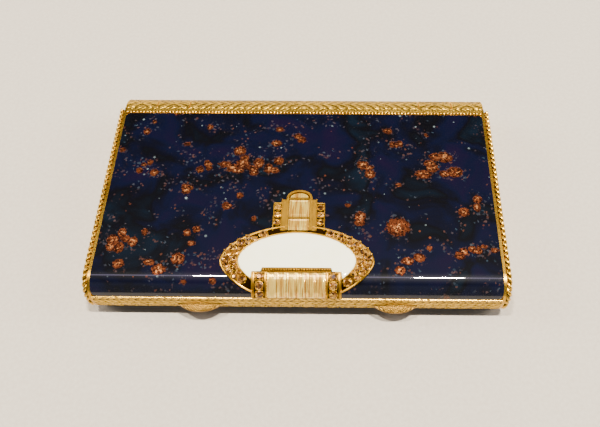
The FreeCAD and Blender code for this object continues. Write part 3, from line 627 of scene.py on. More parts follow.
def groupedFlakes(groups, seed, strays):
    # flakes strewn round each group's middle, then a few small ones anywhere
    pick = random.Random(seed)
    wide, deep = enamelHigh.x / mm, (panelEnd - panelStart) / mm
    made = []
    for across, along, count, loose, size in groups:
        for _ in range(count):
            x, y = across * wide + pick.gauss(0, loose), along * deep + pick.gauss(0, 0.8 * loose)
            made.append((x, y, size * pick.uniform(0.65, 1.1), size * pick.uniform(0.5, 1.0)))
    for _ in range(strays):
        made.append((pick.uniform(-wide, wide), pick.uniform(0, deep), pick.uniform(0.5, 0.9),
                     pick.uniform(0.5, 0.9)))
    return made


def enamelShape(flakes, flip, lift):
    # panel over the flat and down the roll, with its four corners rounded
    half = enamelHigh.x
    start, end = panelStart, panelEnd
    corner = panelLook["corner"]
    rows = spread(start, end, panelLook["grid"])
    cols = spread(-1.0, 1.0, panelLook["grid"] / half)
    outer, inner, field = [], [], []
    for along in rows:
        nearEnd = min(along - start, end - along)
        inCorner = max(0.0, corner - nearEnd)
        cutIn = corner - math.sqrt(max(0.0, corner ** 2 - inCorner ** 2))
        wide = half - cutIn
        row = [onLid(c * wide, along, lift) for c in cols]
        low = [onLid(side * wide, along, lift - panelLook["thick"]) for side in (-1, 1)]
        outer.append([turned(p) for p in row] if flip else row)
        inner.append([turned(p) for p in low] if flip else low)
        field += [flakeField(c * wide, along - start, flakes) for c in cols]
    verts, faces = closedSheet(outer, inner)
    return Shape().add(verts, faces, field + [0.0] * (2 * len(rows)))


lidFlakes = groupedFlakes(flakeGroups, panelLook["lidSeed"], panelLook["strays"])
makePiece("enamel_lid", enamelShape(lidFlakes, False, 0.0), enamel, "lid", ("enamel_panel",))
baseFlakes = randomFlakes(panelLook["seed"], 70, 43, 48)
makePiece("enamel_base", enamelShape(baseFlakes, True, -panelLook["under"]), enamel, "base",
          ("base_enamel_panel",))
print("enamel panels made")

# engraved strips and barrels

# leaf engraving: overlapping leaves cut with a burin, each with a rib, between two plain rails
leafLook = {"depth": 0.22 * mm, "grid": 0.15 * mm, "leafLid": 1.6 * mm, "leafBase": 3.0 * mm, "slant": 0.9,
            "groove": 0.93, "rail": 0.84, "rimTurn": 70.4, "rimThick": 0.38 * mm, "plainShare": 0.75}


def leafHeight(u, v, leaf, slant, seed=0.0):
    # 0 in the cuts to 1 on the leaves; u runs along, v is -1 to 1 across one row of leaves
    wobble = 0.12 * noise.noise(Vector((u / leaf * 1.3, v * 1.7, seed)))
    phase = (u / leaf + slant * abs(v) + wobble) % 1.0
    body = min(1.0, 6.0 * phase, 2.2 * (1.0 - phase) + 0.25)
    stem = 0.35 if abs(v) < 0.10 else 1.0
    rib = 0.72 if abs((phase - 0.45 - 0.25 * abs(v))) < 0.07 else 1.0
    stray = 0.85 + 0.3 * noise.noise(Vector((u / leaf * 5, v * 4, seed + 3)))
    return max(0.0, min(1.0, body * stem * rib * stray))


rimStart = -rollY + rollRadius * math.radians(leafLook["rimTurn"])
rimEnd = -rollY + rollRadius * math.pi / 2 + (rollZ - lidLow.z)


def addRimSpan(shape, left, right, start, end, flip):
    # one length of the engraved strip between the enamel's edge and the parting line
    rows = spread(start, end, leafLook["grid"])
    cols = spread(left, right, leafLook["grid"])
    outer, inner, relief = [], [], []
    for along in rows:
        v = 2 * (along - start) / (end - start) - 1
        row = []
        for x in cols:
            if abs(v) > leafLook["groove"]:
                height = 0.0
            elif abs(v) > leafLook["rail"]:
                height = 1.0
            else:
                leaf = leafLook["leafBase"] if flip else leafLook["leafLid"]
                height = leafHeight(abs(x), v / leafLook["rail"], leaf, leafLook["slant"],
                                    5.0 if flip else 0.0)
            # the leaf height is also the relief that paints shade into the cuts and the grooves
            relief.append(height)
            row.append(onLid(x, along, leafLook["depth"] * (height - leafLook["plainShare"])))
        ends = [onLid(x, along, -leafLook["rimThick"]) for x in (left, right)]
        outer.append([turned(p) for p in row] if flip else row)
        inner.append([turned(p) for p in ends] if flip else ends)
    verts, faces = closedSheet(outer, inner)
    shape.add(verts, faces, relief + [0.4] * (2 * len(rows)))


thumbLow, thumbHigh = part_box("thumb_piece_right")
thumbRoom = 0.1 * mm
thumbGap = (thumbLow.x - thumbRoom, thumbHigh.x + thumbRoom)
lidRim = Shape()
addRimSpan(lidRim, -enamelHigh.x, enamelHigh.x, rimStart, rimEnd, False)
makePiece("rim_lid", lidRim, engravedGold, "lid", ("lid_front_rim",), sharp=60)


def notchedRim():
    # full width below the thumb-pieces, three lengths beside them
    half = enamelHigh.x
    split = rimEnd - (thumbHigh.z - thumbLow.z) - 2 * thumbRoom
    shape = Shape()
    addRimSpan(shape, -half, half, rimStart, split, True)
    for left, right in ((-half, -thumbGap[1]), (-thumbGap[0], thumbGap[0]), (thumbGap[1], half)):
        addRimSpan(shape, left, right, split, rimEnd, True)
    return shape


makePiece("rim_base", notchedRim(), engravedGold, "base", ("base_front_rim",), sharp=60)

barrelLook = {"leaf": 2.4 * mm, "rows": 10, "slant": 1.3, "depth": 0.22 * mm, "around": 200,
              "along": 0.16 * mm,
              "lip": 0.45 * mm, "bevel": 0.12 * mm}


def barrelShape(low, high, centre, mirrorAt):
    # spine barrel: rows of leaves round it, a plain lip at each end, flat end faces
    loops, relief = [], []
    bevel = barrelLook["bevel"]
    lips = [low, low + bevel]
    engraved = spread(low + barrelLook["lip"], high - barrelLook["lip"], barrelLook["along"])
    stations = lips + engraved + [high - bevel, high]
    for x in stations:
        plain = x - low < barrelLook["lip"] * 0.99 or high - x < barrelLook["lip"] * 0.99
        trim = bevel if x in (low, high) else 0.0
        loop = []
        for k in range(barrelLook["around"]):
            turn = 2 * math.pi * k / barrelLook["around"]
            lane = (barrelLook["rows"] * k / barrelLook["around"]) % 1.0 * 2 - 1
            height = 1.0
            if not plain:
                height = leafHeight(abs(x - mirrorAt), lane, barrelLook["leaf"], barrelLook["slant"],
                                    centre)
            radius = spineRadius - trim - barrelLook["depth"] * (1.0 - height) * 0.9
            loop.append(Vector((x, spineY + radius * math.cos(turn), partingZ + radius * math.sin(turn))))
            # the leaf height is also the relief that paints shade into the cuts
            relief.append(height)
        loops.append(loop)
    verts, faces = loft(loops)
    return Shape().add(verts, faces, relief)


barrels = ("spine_centre", "spine_end_left", "spine_end_right", "lid_knuckle_left", "lid_knuckle_right")
for number, node in enumerate(barrels):
    low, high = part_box(node)
    body = "lid" if node.startswith("lid") else "base"
    middle = (low.x + high.x) / 2
    makePiece(node.replace("lid_", "") + "_engraved", barrelShape(low.x, high.x, float(number), middle),
              engravedGold, body, (node,), sharp=60)

# the pin's ends are riveted over into low domes
pinShape = Shape()
pinRadius = (pinHigh.z - pinLow.z) / 2
pinLoops = []
for x, size in ((-0.35, 0.3), (-0.3, 0.8), (-0.12, 1.25), (0.0, 1.3)):
    pinLoops.append((pinLow.x + x * mm, size))
pinEnds = pinLoops + [(-x, size) for x, size in reversed(pinLoops)]
verts, faces = loft([[Vector((x, spineY + size * pinRadius * math.cos(a),
                              partingZ + size * pinRadius * math.sin(a)))
                      for a in (2 * math.pi * k / 20 for k in range(20))] for x, size in pinEnds])
makePiece("pin_riveted", pinShape.add(verts, faces), polishedGold, "base", ("hinge_pin",))
print("engraved rims and spine made")

# rope borders and bead strip

# rope border: two round wires twisted together and soldered along the edge
ropeLook = {"lay": 2.88 * mm, "step": 0.18 * mm, "sides": 10, "strand": 0.41 * mm, "offset": 0.31 * mm,
            "shade": 0.45}
ropeReach = ropeLook["strand"] + ropeLook["offset"]


def ropePath():
    # points and outward normals of the rope's centre line, from the spine to the parting line
    sink = ropeReach
    start, end = -ropeHigh.y, -rollY + rollRadius * math.pi / 2 + (rollZ - ropeLow.z)
    points, normals = [], []
    for along in spread(start, end, ropeLook["step"]):
        points.append(onLid(0, along, -sink))
        normals.append(lidNormal(along))
    return points, normals


def ropeShape(side, flip):
    points, normals = ropePath()
    middle = side * (ropeLow.x + ropeHigh.x) / 2
    shape = Shape()
    run = 0.0
    turns = []
    for i, point in enumerate(points):
        run += (point - points[i - 1]).length if i else 0.0
        turns.append(side * 2 * math.pi * run / ropeLook["lay"])
    for strand in range(2):
        line = []
        for point, normal, turn in zip(points, normals, turns):
            a = turn + math.pi * strand
            across = Vector((middle + ropeLook["offset"] * math.sin(a), 0, 0))
            place = point + ropeLook["offset"] * math.cos(a) * normal + across
            line.append(turned(place) if flip else place)
        verts, faces = tube(line, [Vector((1, 0, 0))] * len(line), ropeLook["strand"], ropeLook["sides"])
        # painted shade: the strands darken where they turn in towards the rope's core
        relief = []
        for n, vert in enumerate(verts):
            centre = points[n // ropeLook["sides"]] + Vector((middle, 0, 0))
            out = (vert - (turned(centre) if flip else centre)).length
            relief.append(max(0.0, (out / ropeReach - ropeLook["shade"]) / (1 - ropeLook["shade"])))
        shape.add(verts, faces, relief)
    return shape


for label, side in (("left", -1), ("right", 1)):
    makePiece("rope_lid_" + label, ropeShape(side, False), wireGold, "lid", ("lid_rope_" + label,))
    makePiece("rope_base_" + label, ropeShape(side, True), wireGold, "base",
              ("base_rope_" + label,))

# milgrain line at the rear edge of the enamel
beadLook = {"pitch": 0.85 * mm, "radius": 0.31 * mm}
stripLow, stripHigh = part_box("rear_bead_strip")
beadShape = Shape()
stripMiddle = (stripLow.y + stripHigh.y) / 2
for x in spread(stripLow.x + beadLook["radius"], stripHigh.x - beadLook["radius"], beadLook["pitch"]):
    beadShape.add(*bead(Vector((x, stripMiddle, stripLow.z)), Vector((0, 0, 1)), beadLook["radius"],
                        low=-20))
makePiece("bead_strip", beadShape, polishedGold, "lid", ("rear_bead_strip",))
# engraved border on the lid between the beads and the spine
borderLook = {"height": 0.12 * mm, "leaf": 1.5 * mm, "slant": 0.7, "step": 0.13 * mm}
borderShape = Shape()
borderRows = spread(stripHigh.y + 0.02 * mm, spineY - 0.05 * mm, borderLook["step"])
borderCols = spread(stripLow.x, stripHigh.x, borderLook["step"])
outer, inner, relief = [], [], []
for y in borderRows:
    v = 2 * (y - borderRows[0]) / (borderRows[-1] - borderRows[0]) - 1
    heights = [leafHeight(abs(x), v * 0.95, borderLook["leaf"], borderLook["slant"],
                          9.0) for x in borderCols]
    outer.append([Vector((x, y, topZ + borderLook["height"] * h)) for x, h in zip(borderCols, heights)])
    inner.append([Vector((x, y, topZ - 0.05 * mm)) for x in (borderCols[0], borderCols[-1])])
    # the leaf height is also the relief that paints shade into the cuts
    relief += heights
verts, faces = closedSheet(outer, inner)
makePiece("rear_border", borderShape.add(verts, faces, relief + [0.4] * (2 * len(borderRows))),
          engravedGold, "lid",
          sharp=60)
print("rope borders and beads made")

# ornament

ornament = {
    # half long, half short, centre forward of the origin, and 2 for an ellipse or less for a pointed oval
    "ring": (17.15 * mm, 8.95 * mm, 20.0 * mm, 1.78),
    "plaque": (13.4 * mm, 7.1 * mm, 19.9 * mm, 1.9),
    "panelHalf": 9.85 * mm,
    "fluteHalf": 6.6 * mm,
    "panelRear": 21.9 * mm,
    "barHalf": 7.7 * mm,
    "barDeep": 0.9 * mm,
    "panelTurn": 66,
    "towerHalf": 5.95 * mm,
    "towerRear": 4.9 * mm,
    "stepHalf": 4.1 * mm,
    "stepRear": 3.9 * mm,
    "gableHalf": 3.05 * mm,
    "gableRear": 3.45 * mm,
    "gableTip": 1.4 * mm,
    "towerFront": 12.4 * mm,
    "floor": 0.4 * mm,
    "twoRows": 2.55 * mm,
}
panelFront = -rollY + rollRadius * math.radians(ornament["panelTurn"])
setting = Shape()      # all the gold of the ornament
stonesRing, stonesColumn, stonesFlute, stonesTower = Shape(), Shape(), Shape(), Shape()


def oval(which, turn):
    wide, deep, middle, power = ornament[which]
    across, along = math.cos(turn), math.sin(turn)
    x = math.copysign(abs(across) ** (2 / power), across) * wide
    return x, middle - math.copysign(abs(along) ** (2 / power), along) * deep


def rectangle(left, right, rear, nose):
    return [(left, nose), (right, nose), (right, rear), (left, rear)]


def slab(outline, low, high, bevel=0.0):
    # solid over an outline of (x, along) corners, from lift low to lift high, its top edge bevelled
    middle = (sum(p[0] for p in outline) / len(outline), sum(p[1] for p in outline) / len(outline))
    loops = [[onLid(x, along, low) for x, along in outline]]
    if bevel:
        loops.append([onLid(x, along, high - bevel) for x, along in outline])
    top = []
    for x, along in outline:
        back = Vector((middle[0] - x, middle[1] - along))
        back = back.normalized() * bevel if back.length else back
        top.append(onLid(x + back.x, along + back.y, high))
    loops.append(top)
    return loft(loops)


def darkSlab(outline, low, high, bevel):
    # slab of the setting between raised wires, with painted shadow: its low relief turns it dark
    verts, faces = slab(outline, low, high, bevel)
    setting.add(verts, faces, [0.08] * len(verts))


# level, size and half-step of each ring of corners, in shares of the stone's radius
stoneCut = ((-0.55, 0.12, 0.0), (0.0, 1.0, 0.5), (0.10, 1.0, 0.0), (0.30, 0.82, 0.5), (0.44, 0.52, 0.0))


def brilliant(x, along, radius, lift, turn=0.0):
    # round stone: flat table, crown facets, thin girdle, pavilion closing below
    normal = lidNormal(along)
    centre = onLid(x, along, lift)
    side = Vector((1, 0, 0))
    other = normal.cross(side)
    loops = []
    for height, size, step in stoneCut:
        level = centre + normal * height * radius
        loops.append(circle(level, side, other, size * radius, 8, turn + 2 * math.pi * step / 8))
    return loft(loops, twist=True)


def collet(x, along, radius, lift):
    # gold ring round a stone, with four grains pushed over its edge
    normal = lidNormal(along)
    side = Vector((1, 0, 0))
    other = normal.cross(side)
    centre = onLid(x, along, lift)
    ring = circle(centre, side, other, radius, 16)
    setting.add(*tube(ring, [normal] * 16, 0.09 * mm + 0.04 * radius, 6, ring=True))
    for k in range(4):
        a = math.pi / 4 + math.pi / 2 * k
        place = centre + radius * 1.08 * (math.cos(a) * side + math.sin(a) * other) + normal * 0.1 * mm
        setting.add(*bead(place, normal, 0.10 * mm + 0.09 * radius, 6))


def rail(outline, lift, radius, beads=0.0, ring=False):
    # wire along (x, along) points; beads is the pitch of a milgrain edge on it
    points = [onLid(x, along, lift) for x, along in outline]
    normals = [lidNormal(along) for x, along in outline]
    setting.add(*tube(points, normals, radius, 7, ring=ring))
    if not beads:
        return
    gone = 0.0
    for i in range(1, len(points)):
        gone += (points[i] - points[i - 1]).length
        if gone >= beads:
            gone -= beads
            setting.add(*bead(points[i] + normals[i] * radius * 0.7, normals[i], radius * 0.85, 6))


# the ring stops at the panel's sides
ringEnd = math.acos((ornament["panelHalf"] / ornament["ring"][0]) ** (ornament["ring"][3] / 2))
plaqueEnd = math.acos((ornament["panelHalf"] / ornament["plaque"][0]) ** (ornament["plaque"][3] / 2))
ringTurns = spread(-ringEnd, math.pi + ringEnd, 0.02)
share = [(t + ringEnd) / (math.pi + 2 * ringEnd) for t in ringTurns]
innerTurns = [-plaqueEnd + s * (math.pi + 2 * plaqueEnd) for s in share]
sections = []
for outerTurn, innerTurn in zip(ringTurns, innerTurns):
    ox, oa = oval("ring", outerTurn)
    ix, ia = oval("plaque", innerTurn)
    floorLift = ornament["floor"]
    sections.append([onLid(ix, ia, 0), onLid(ix, ia, floorLift), onLid(ox, oa, floorLift),
                     onLid(ox, oa, 0)])
plate = loft(sections)
# painted shade on the ring's floor between the stones: its relief is set low
setting.add(*plate, [0.12] * len(plate[0]))
rail([oval("ring", t) for t in ringTurns], ornament["floor"] + 0.12 * mm, 0.27 * mm)
rail([oval("plaque", t) for t in innerTurns], ornament["floor"] + 0.22 * mm, 0.16 * mm)

# stones graded round the ring, in two rows where it is wide
place = 0.03
while place < 0.97:
    i = int(place * (len(ringTurns) - 1))
    ox, oa = oval("ring", ringTurns[i])
    ix, ia = oval("plaque", innerTurns[i])
    width = math.hypot(ox - ix, oa - ia)
    double = width > ornament["twoRows"]
    rows = (0.27, 0.74) if double else (0.5,)
    radius = width * 0.225 if double else max(0.55 * mm, 0.43 * (width - 0.25 * mm))
    for n, fraction in enumerate(rows):
        size = radius * (0.9 + 0.2 * n) if double else radius
        x, along = ix + (ox - ix) * fraction, ia + (oa - ia) * fraction
        nearTower = abs(x) < ornament["towerHalf"] + 0.5 * mm and along < 15 * mm
        if not nearTower:
            stonesRing.add(*brilliant(x, along, size, ornament["floor"] + 0.22 * mm, place * 9))
            collet(x, along, size * 1.06, ornament["floor"] + 0.16 * mm)
    place += 2.16 * radius / (46.5 * mm)

# fluted panel over the roll: frame, bar with milgrain, six upright baguettes, three stones at each side
panelTop = ornament["panelRear"] + ornament["barDeep"]
for side in (-1, 1):
    inner, outer = side * ornament["fluteHalf"], side * ornament["panelHalf"]
    steps = spread(panelTop, panelFront, 0.5 * mm)
    setting.add(*loft([bowed(inner, outer, a, 0, 0.35 * mm) for a in steps]))
    for edge in (inner, outer):
        rail([(edge, a) for a in steps], 0.42 * mm, 0.2 * mm, beads=0.42 * mm if edge == inner else 0.0)
    middle = (inner + outer) / 2
    for k in range(3):
        along = panelTop + (0.98 + 1.86 * k) * mm
        stonesColumn.add(*brilliant(middle, along, 0.86 * mm, 0.52 * mm, k * 0.4))
        collet(middle, along, 0.93 * mm, 0.45 * mm)
        box = rectangle(middle - 1.25 * mm, middle + 1.25 * mm, along + 0.92 * mm, along - 0.92 * mm)
        darkSlab(box, 0.1 * mm, 0.44 * mm, 0.12 * mm)
steps = spread(panelTop, panelFront, 0.45 * mm)
setting.add(*loft([bowed(-ornament["fluteHalf"], ornament["fluteHalf"], a, 0, 0.2 * mm) for a in steps]))
fluteWide = 2 * ornament["fluteHalf"] / 6
for k in range(6):
    centre = -ornament["fluteHalf"] + fluteWide * (k + 0.5)
    half = fluteWide / 2 - 0.07 * mm
    sections = []
    marks = spread(panelTop + 0.2 * mm, panelFront - 0.2 * mm, 0.45 * mm)
    for n, a in enumerate(marks):
        high = 0.62 * mm if n in (0, len(marks) - 1) else 0.82 * mm
        sections.append([onLid(centre - half, a, 0.25 * mm), onLid(centre - half, a, 0.55 * mm),
                         onLid(centre - 0.5 * half, a, high), onLid(centre + 0.5 * half, a, high),
                         onLid(centre + half, a, 0.55 * mm), onLid(centre + half, a, 0.25 * mm)])
    stonesFlute.add(*loft(sections))
    rail([(centre + fluteWide / 2, a) for a in marks], 0.5 * mm, 0.07 * mm)
barEdge = ornament["barHalf"]
darkSlab(rectangle(-barEdge, barEdge, panelTop, ornament["panelRear"]), 0.0, 0.68 * mm, 0.12 * mm)
barMiddle = ornament["panelRear"] + 0.42 * mm
for x in spread(-barEdge + 0.3 * mm, barEdge - 0.3 * mm, 0.58 * mm):
    setting.add(*bead(onLid(x, barMiddle, 0.66 * mm), lidNormal(barMiddle), 0.28 * mm))
for along in (ornament["panelRear"] + 0.08 * mm, panelTop - 0.08 * mm):
    rail([(-barEdge, along), (barEdge, along)], 0.66 * mm, 0.1 * mm)
rail([(x, panelFront) for x in spread(-ornament["panelHalf"], ornament["panelHalf"], 0.2 * mm)],
     0.25 * mm, 0.2 * mm)

# stepped tower: outer columns with three stones, narrow inner step, gabled frame with baguettes
front = ornament["towerFront"]
for side in (-1, 1):
    inner, outer = side * ornament["stepHalf"], side * ornament["towerHalf"]
    box = rectangle(inner, outer, ornament["towerRear"], front)
    darkSlab(box, 0.0, 0.38 * mm, 0.05 * mm)
    rail([(outer, a) for a in spread(front, ornament["towerRear"], 0.2 * mm)], 0.42 * mm, 0.14 * mm)
    rail([(x, ornament["towerRear"]) for x in spread(inner, outer, 0.2 * mm)], 0.42 * mm, 0.14 * mm)
    for k in range(3):
        along = ornament["towerRear"] + (1.2 + 2.0 * k) * mm
        stonesColumn.add(*brilliant((inner + outer) / 2, along, 0.72 * mm, 0.5 * mm, k * 0.5))
        collet((inner + outer) / 2, along, 0.78 * mm, 0.44 * mm)
    gableEdge = side * ornament["gableHalf"]
    box = rectangle(gableEdge, inner, ornament["stepRear"], front)
    setting.add(*slab(box, 0.0, 0.55 * mm, 0.1 * mm))
    rail([(inner, a) for a in spread(front, ornament["stepRear"], 0.15 * mm)], 0.55 * mm, 0.12 * mm,
         beads=0.4 * mm)


def halfRound(half, rear, deep):
    return [(half * math.cos(a), rear - deep * math.sin(a)) for a in (math.pi * k / 8 for k in range(9))]


arch = halfRound(ornament["gableHalf"], ornament["gableRear"], ornament["gableRear"] - ornament["gableTip"])
gableLine = [(-ornament["gableHalf"], front)] + arch[::-1] + [(ornament["gableHalf"], front)]
darkSlab([(x, a) for x, a in gableLine], 0.0, 0.35 * mm, 0.05 * mm)


def wall(line, thick, low, high):
    # upright gold strip along the inside of an open line of (x, along) corners
    middle = Vector((0, (line[0][1] + line[len(line) // 2][1]) / 2))
    for (ax, aa), (bx, ba) in zip(line, line[1:]):
        run = Vector((bx - ax, ba - aa)).normalized()
        inward = Vector((-run.y, run.x))
        if inward.dot(middle - Vector((ax, aa))) < 0:
            inward = -inward
        shift = inward * thick
        box = [(ax, aa), (bx, ba), (bx + shift.x, ba + shift.y), (ax + shift.x, aa + shift.y)]
        setting.add(*slab(box, low, high, 0.08 * mm))


wall(gableLine, 0.55 * mm, 0.0, 0.85 * mm)
for along in (3.75 * mm, 8.95 * mm):      # cross bars between the lying stones
    setting.add(*slab(rectangle(-2.5 * mm, 2.5 * mm, along + 0.22 * mm, along), 0.0, 0.72 * mm, 0.05 * mm))


def stepCut(left, right, rear, nose, low, high):
    # lying baguette with two steps to its table
    loops = []
    for inset, lift in ((0.25, low), (0.0, low + 0.3 * mm), (0.32, high - 0.12 * mm), (0.62, high)):
        inset *= mm
        loops.append([onLid(left + inset, nose - inset, lift), onLid(right - inset, nose - inset, lift),
                      onLid(right - inset, rear + inset, lift), onLid(left + inset, rear + inset, lift)])
    return loft(loops)


stonesTower.add(*stepCut(-2.4 * mm, 2.4 * mm, 4.1 * mm, 8.8 * mm, 0.35 * mm, 0.95 * mm))
stonesTower.add(*stepCut(-2.4 * mm, 2.4 * mm, 9.3 * mm, 12.3 * mm, 0.35 * mm, 0.9 * mm))
roof = halfRound(2.3 * mm, 3.6 * mm, 1.45 * mm)
stonesTower.add(*slab(roof, 0.35 * mm, 0.85 * mm, 0.25 * mm))

makePiece("ornament_gold", setting, settingGold, "lid", ("ornament_setting",), sharp=40)
makePiece("stones_round_ring", stonesRing, cutStone, "lid", ("ring_stones",), sharp=0)
makePiece("stones_round_columns", stonesColumn, cutStone, "lid", ("column_stones",), sharp=0)
makePiece("stones_flutes", stonesFlute, baguetteStone, "lid", ("panel_baguettes",), sharp=0)
makePiece("stones_tower", stonesTower, baguetteStone, "lid", ("tower_baguettes",), sharp=0)

# plaque: slightly domed, cut away round the bar and the panel
plaqueLook = {"grid": 0.25 * mm, "edge": 0.45 * mm, "crown": 0.35 * mm, "gap": 0.12 * mm}


def plaqueShape():
    wide, deep, middle, power = ornament["plaque"]
    wide, deep = wide - plaqueLook["gap"], deep - plaqueLook["gap"]
    outer, inner = [], []
    for x in spread(-wide * 0.999, wide * 0.999, plaqueLook["grid"]):
        chord = deep * max(0.0, 1 - abs(x / wide) ** power) ** (1 / power)
        rear, nose = middle - chord, middle + chord
        if abs(x) < ornament["barHalf"] + 0.1 * mm:
            nose = min(nose, ornament["panelRear"] - 0.05 * mm)
        elif abs(x) < ornament["panelHalf"] + 0.2 * mm:
            nose = min(nose, panelTop - 0.05 * mm)
        row = []
        for k in range(41):
            along = rear + (nose - rear) * k / 40
            out = abs(x / wide) ** power + abs((along - middle) / deep) ** power
            dome = math.sqrt(max(0.0, 1 - min(1.0, out) ** 2))
            row.append(onLid(x, along, plaqueLook["edge"] + plaqueLook["crown"] * dome))
        outer.append(row)
        inner.append([onLid(x, rear, 0.02 * mm), onLid(x, nose, 0.02 * mm)])
    verts, faces = closedSheet(outer, inner)
    return Shape().add(verts, faces)


makePiece("plaque", plaqueShape(), whiteAgate, "lid", ("white_plaque",), sharp=50)
print("ornament made")

# thumb-pieces

# hobnail cut: tiny pyramids filed in crossing rows, so that the nail grips it
thumbLook = {"pitch": 0.55 * mm, "depth": 0.2 * mm, "grid": 0.1 * mm, "nose": 0.25 * mm}


def thumbShape(node):
    low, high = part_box(node)
    middle, half = (low.x + high.x) / 2, (high.x - low.x) / 2
    reach = frontY - low.y
    bow = half ** 2 / (2 * reach) + reach / 2
    outer, inner, relief = [], [], []
    for y in spread(high.y, low.y + 0.02 * mm, thumbLook["grid"]):
        wide = half if y > frontY else math.sqrt(max(0.0, bow ** 2 - (bow - reach + frontY - y) ** 2))
        wide = min(half, wide)
        edge = max(0.0, min(1.0, (y - low.y) / reach))
        row = []
        for k in range(101):
            x = middle - wide + 2 * wide * k / 100
            u, v = (x - y) / thumbLook["pitch"], (x + y) / thumbLook["pitch"]
            peak = (1 - abs(u % 1.0 - 0.5) * 2) * (1 - abs(v % 1.0 - 0.5) * 2)
            inside = 1.0 if y < frontY - 0.15 * mm else 0.0
            flat = 1 - (abs(x - middle) / max(wide, 1e-6)) ** 6
            drop = 0.35 * mm * (1 - edge) ** 2 + 0.2 * mm * (1 - flat)
            row.append(Vector((x, y, high.z - drop - thumbLook["depth"] * (1 - peak) * inside)))
            # painted shade in the valleys between the pyramids
            relief.append(0.25 + 0.75 * peak if inside else 1.0)
        outer.append(row)
        under = low.z + thumbLook["nose"] * (1 - edge)
        inner.append([Vector((middle - wide, y, under)), Vector((middle + wide, y, under))])
    verts, faces = closedSheet(outer, inner)
    return Shape().add(verts, faces, relief + [0.6] * (2 * len(outer)))


for label in ("left", "right"):
    makePiece("thumb_hobnail_" + label, thumbShape("thumb_piece_" + label), paleGold, "catch_" + label,
              ("thumb_piece_" + label,), sharp=60)

# leaf springs behind the latches: a bowed strip of spring steel, which flattens as the thumb-piece goes in;
# here it is built bowed and given its own mesh
springLook = {"thick": 0.2 * mm, "stations": 24, "round": 0.06 * mm, "keep": 0.57}


def springShape(low, high):
    middle, half = (low.x + high.x) / 2, (high.x - low.x) / 2
    rise = high.y - low.y - springLook["thick"]
    r = springLook["round"]
    loops = []
    for x in spread(low.x, high.x, 2 * half / springLook["stations"]):
        front = high.y - springLook["thick"] - rise * (1 - ((x - middle) / half) ** 2)
        back = front + springLook["thick"]
        loops.append([Vector((x, y, z)) for y, z in (
            (front, low.z + r), (front + r, low.z), (back - r, low.z), (back, low.z + r),
            (back, high.z - r), (back - r, high.z), (front + r, high.z), (front, high.z - r))])
    return Shape().add(*loft(loops))


for label in ("left", "right"):
    low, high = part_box("catch_spring_" + label)
    spring = makePiece("spring_leaf_" + label, springShape(low, high), springSteel, "base",
                       ("catch_spring_" + label,), sharp=50)
    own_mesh(spring)
print("thumb-pieces made")

# inside: powder, cover, mirror and lipstick


def plateShape(low, high, step, height):
    # flat plate whose top follows height(x, y), 0 to 1 and then metres below the top
    rows, cols = spread(low.y, high.y, step), spread(low.x, high.x, step)
    outer = [[Vector((x, y, high.z - height(x, y))) for x in cols] for y in rows]
    inner = [[Vector((x, y, low.z)) for x in (low.x, high.x)] for y in rows]
    verts, faces = closedSheet(outer, inner)
    deepest = max(high.z - v.z for row in outer for v in row) or 1.0
    # relief, 1 on top and 0 at the deepest, paints shade into the grooves where the material is engraved
    # gold
    relief = [1.0 - (high.z - v.z) / deepest for row in outer for v in row]
    return Shape().add(verts, faces, relief + [0.5] * (2 * len(rows)))


# powder is pressed with a fan of rays; the puff has worn a shallow hollow in it
cakeLook = {"rays": 44, "depth": 0.35 * mm, "hollow": 0.5 * mm, "wear": 11 * mm, "step": 0.5 * mm,
            "crumble": 0.3 * mm, "fallen": 0.6 * mm}
cakeLow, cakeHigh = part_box("powder_cake")
cakeMiddle = (cakeLow + cakeHigh) / 2


def cakeHeight(x, y):
    dx, dy = x - cakeMiddle.x, y - cakeLow.y
    ray = 0.5 + 0.5 * math.cos(cakeLook["rays"] * math.atan2(dx, dy + 2 * mm))
    away = math.hypot(dx - 5 * mm, y - cakeMiddle.y) / cakeLook["wear"]
    worn = math.exp(-away ** 2)
    edge = min(x - cakeLow.x, cakeHigh.x - x, y - cakeLow.y, cakeHigh.y - y)
    fallen = cakeLook["fallen"] if edge < cakeLook["crumble"] else 0.0
    return cakeLook["depth"] * ray * (1 - worn) + cakeLook["hollow"] * worn + fallen


makePiece("powder_pressed", plateShape(cakeLow, cakeHigh, cakeLook["step"], cakeHeight), facePowder,
          "base",
          ("powder_cake",), sharp=60)

# engine-turned cover: waved rays cut from the middle, inside a plain border
coverLook = {"border": 2.2 * mm, "thick": 0.14 * mm, "depth": 0.1 * mm, "rays": 72, "wave": 3.2 * mm,
             "step": 0.28 * mm}
coverLow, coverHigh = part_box("powder_cover")
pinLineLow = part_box("powder_cover_pin")[0]
wellLow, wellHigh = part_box("puff_well")
coverTop = coverLow.z + 0.6 * mm
turnLow = Vector((coverLow.x + coverLook["border"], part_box("powder_pan")[0].y + coverLook["border"],
                  coverTop - 0.05 * mm))
turnHigh = Vector((coverHigh.x - coverLook["border"], pinLineLow.y - coverLook["border"],
                   coverTop + coverLook["thick"]))
turnMiddle = (turnLow + turnHigh) / 2


def engineTurned(x, y):
    dx, dy = x - turnMiddle.x, y - turnMiddle.y
    away = math.hypot(dx, dy)
    swing = 0.35 * math.sin(2 * math.pi * away / coverLook["wave"]) / coverLook["rays"] * math.pi
    return coverLook["depth"] * (0.5 + 0.5 * math.cos(coverLook["rays"] * (math.atan2(dy, dx) + swing)))


makePiece("cover_engine_turning", plateShape(turnLow, turnHigh, coverLook["step"], engineTurned),
          engravedGold,
          "powder_cover", sharp=60)


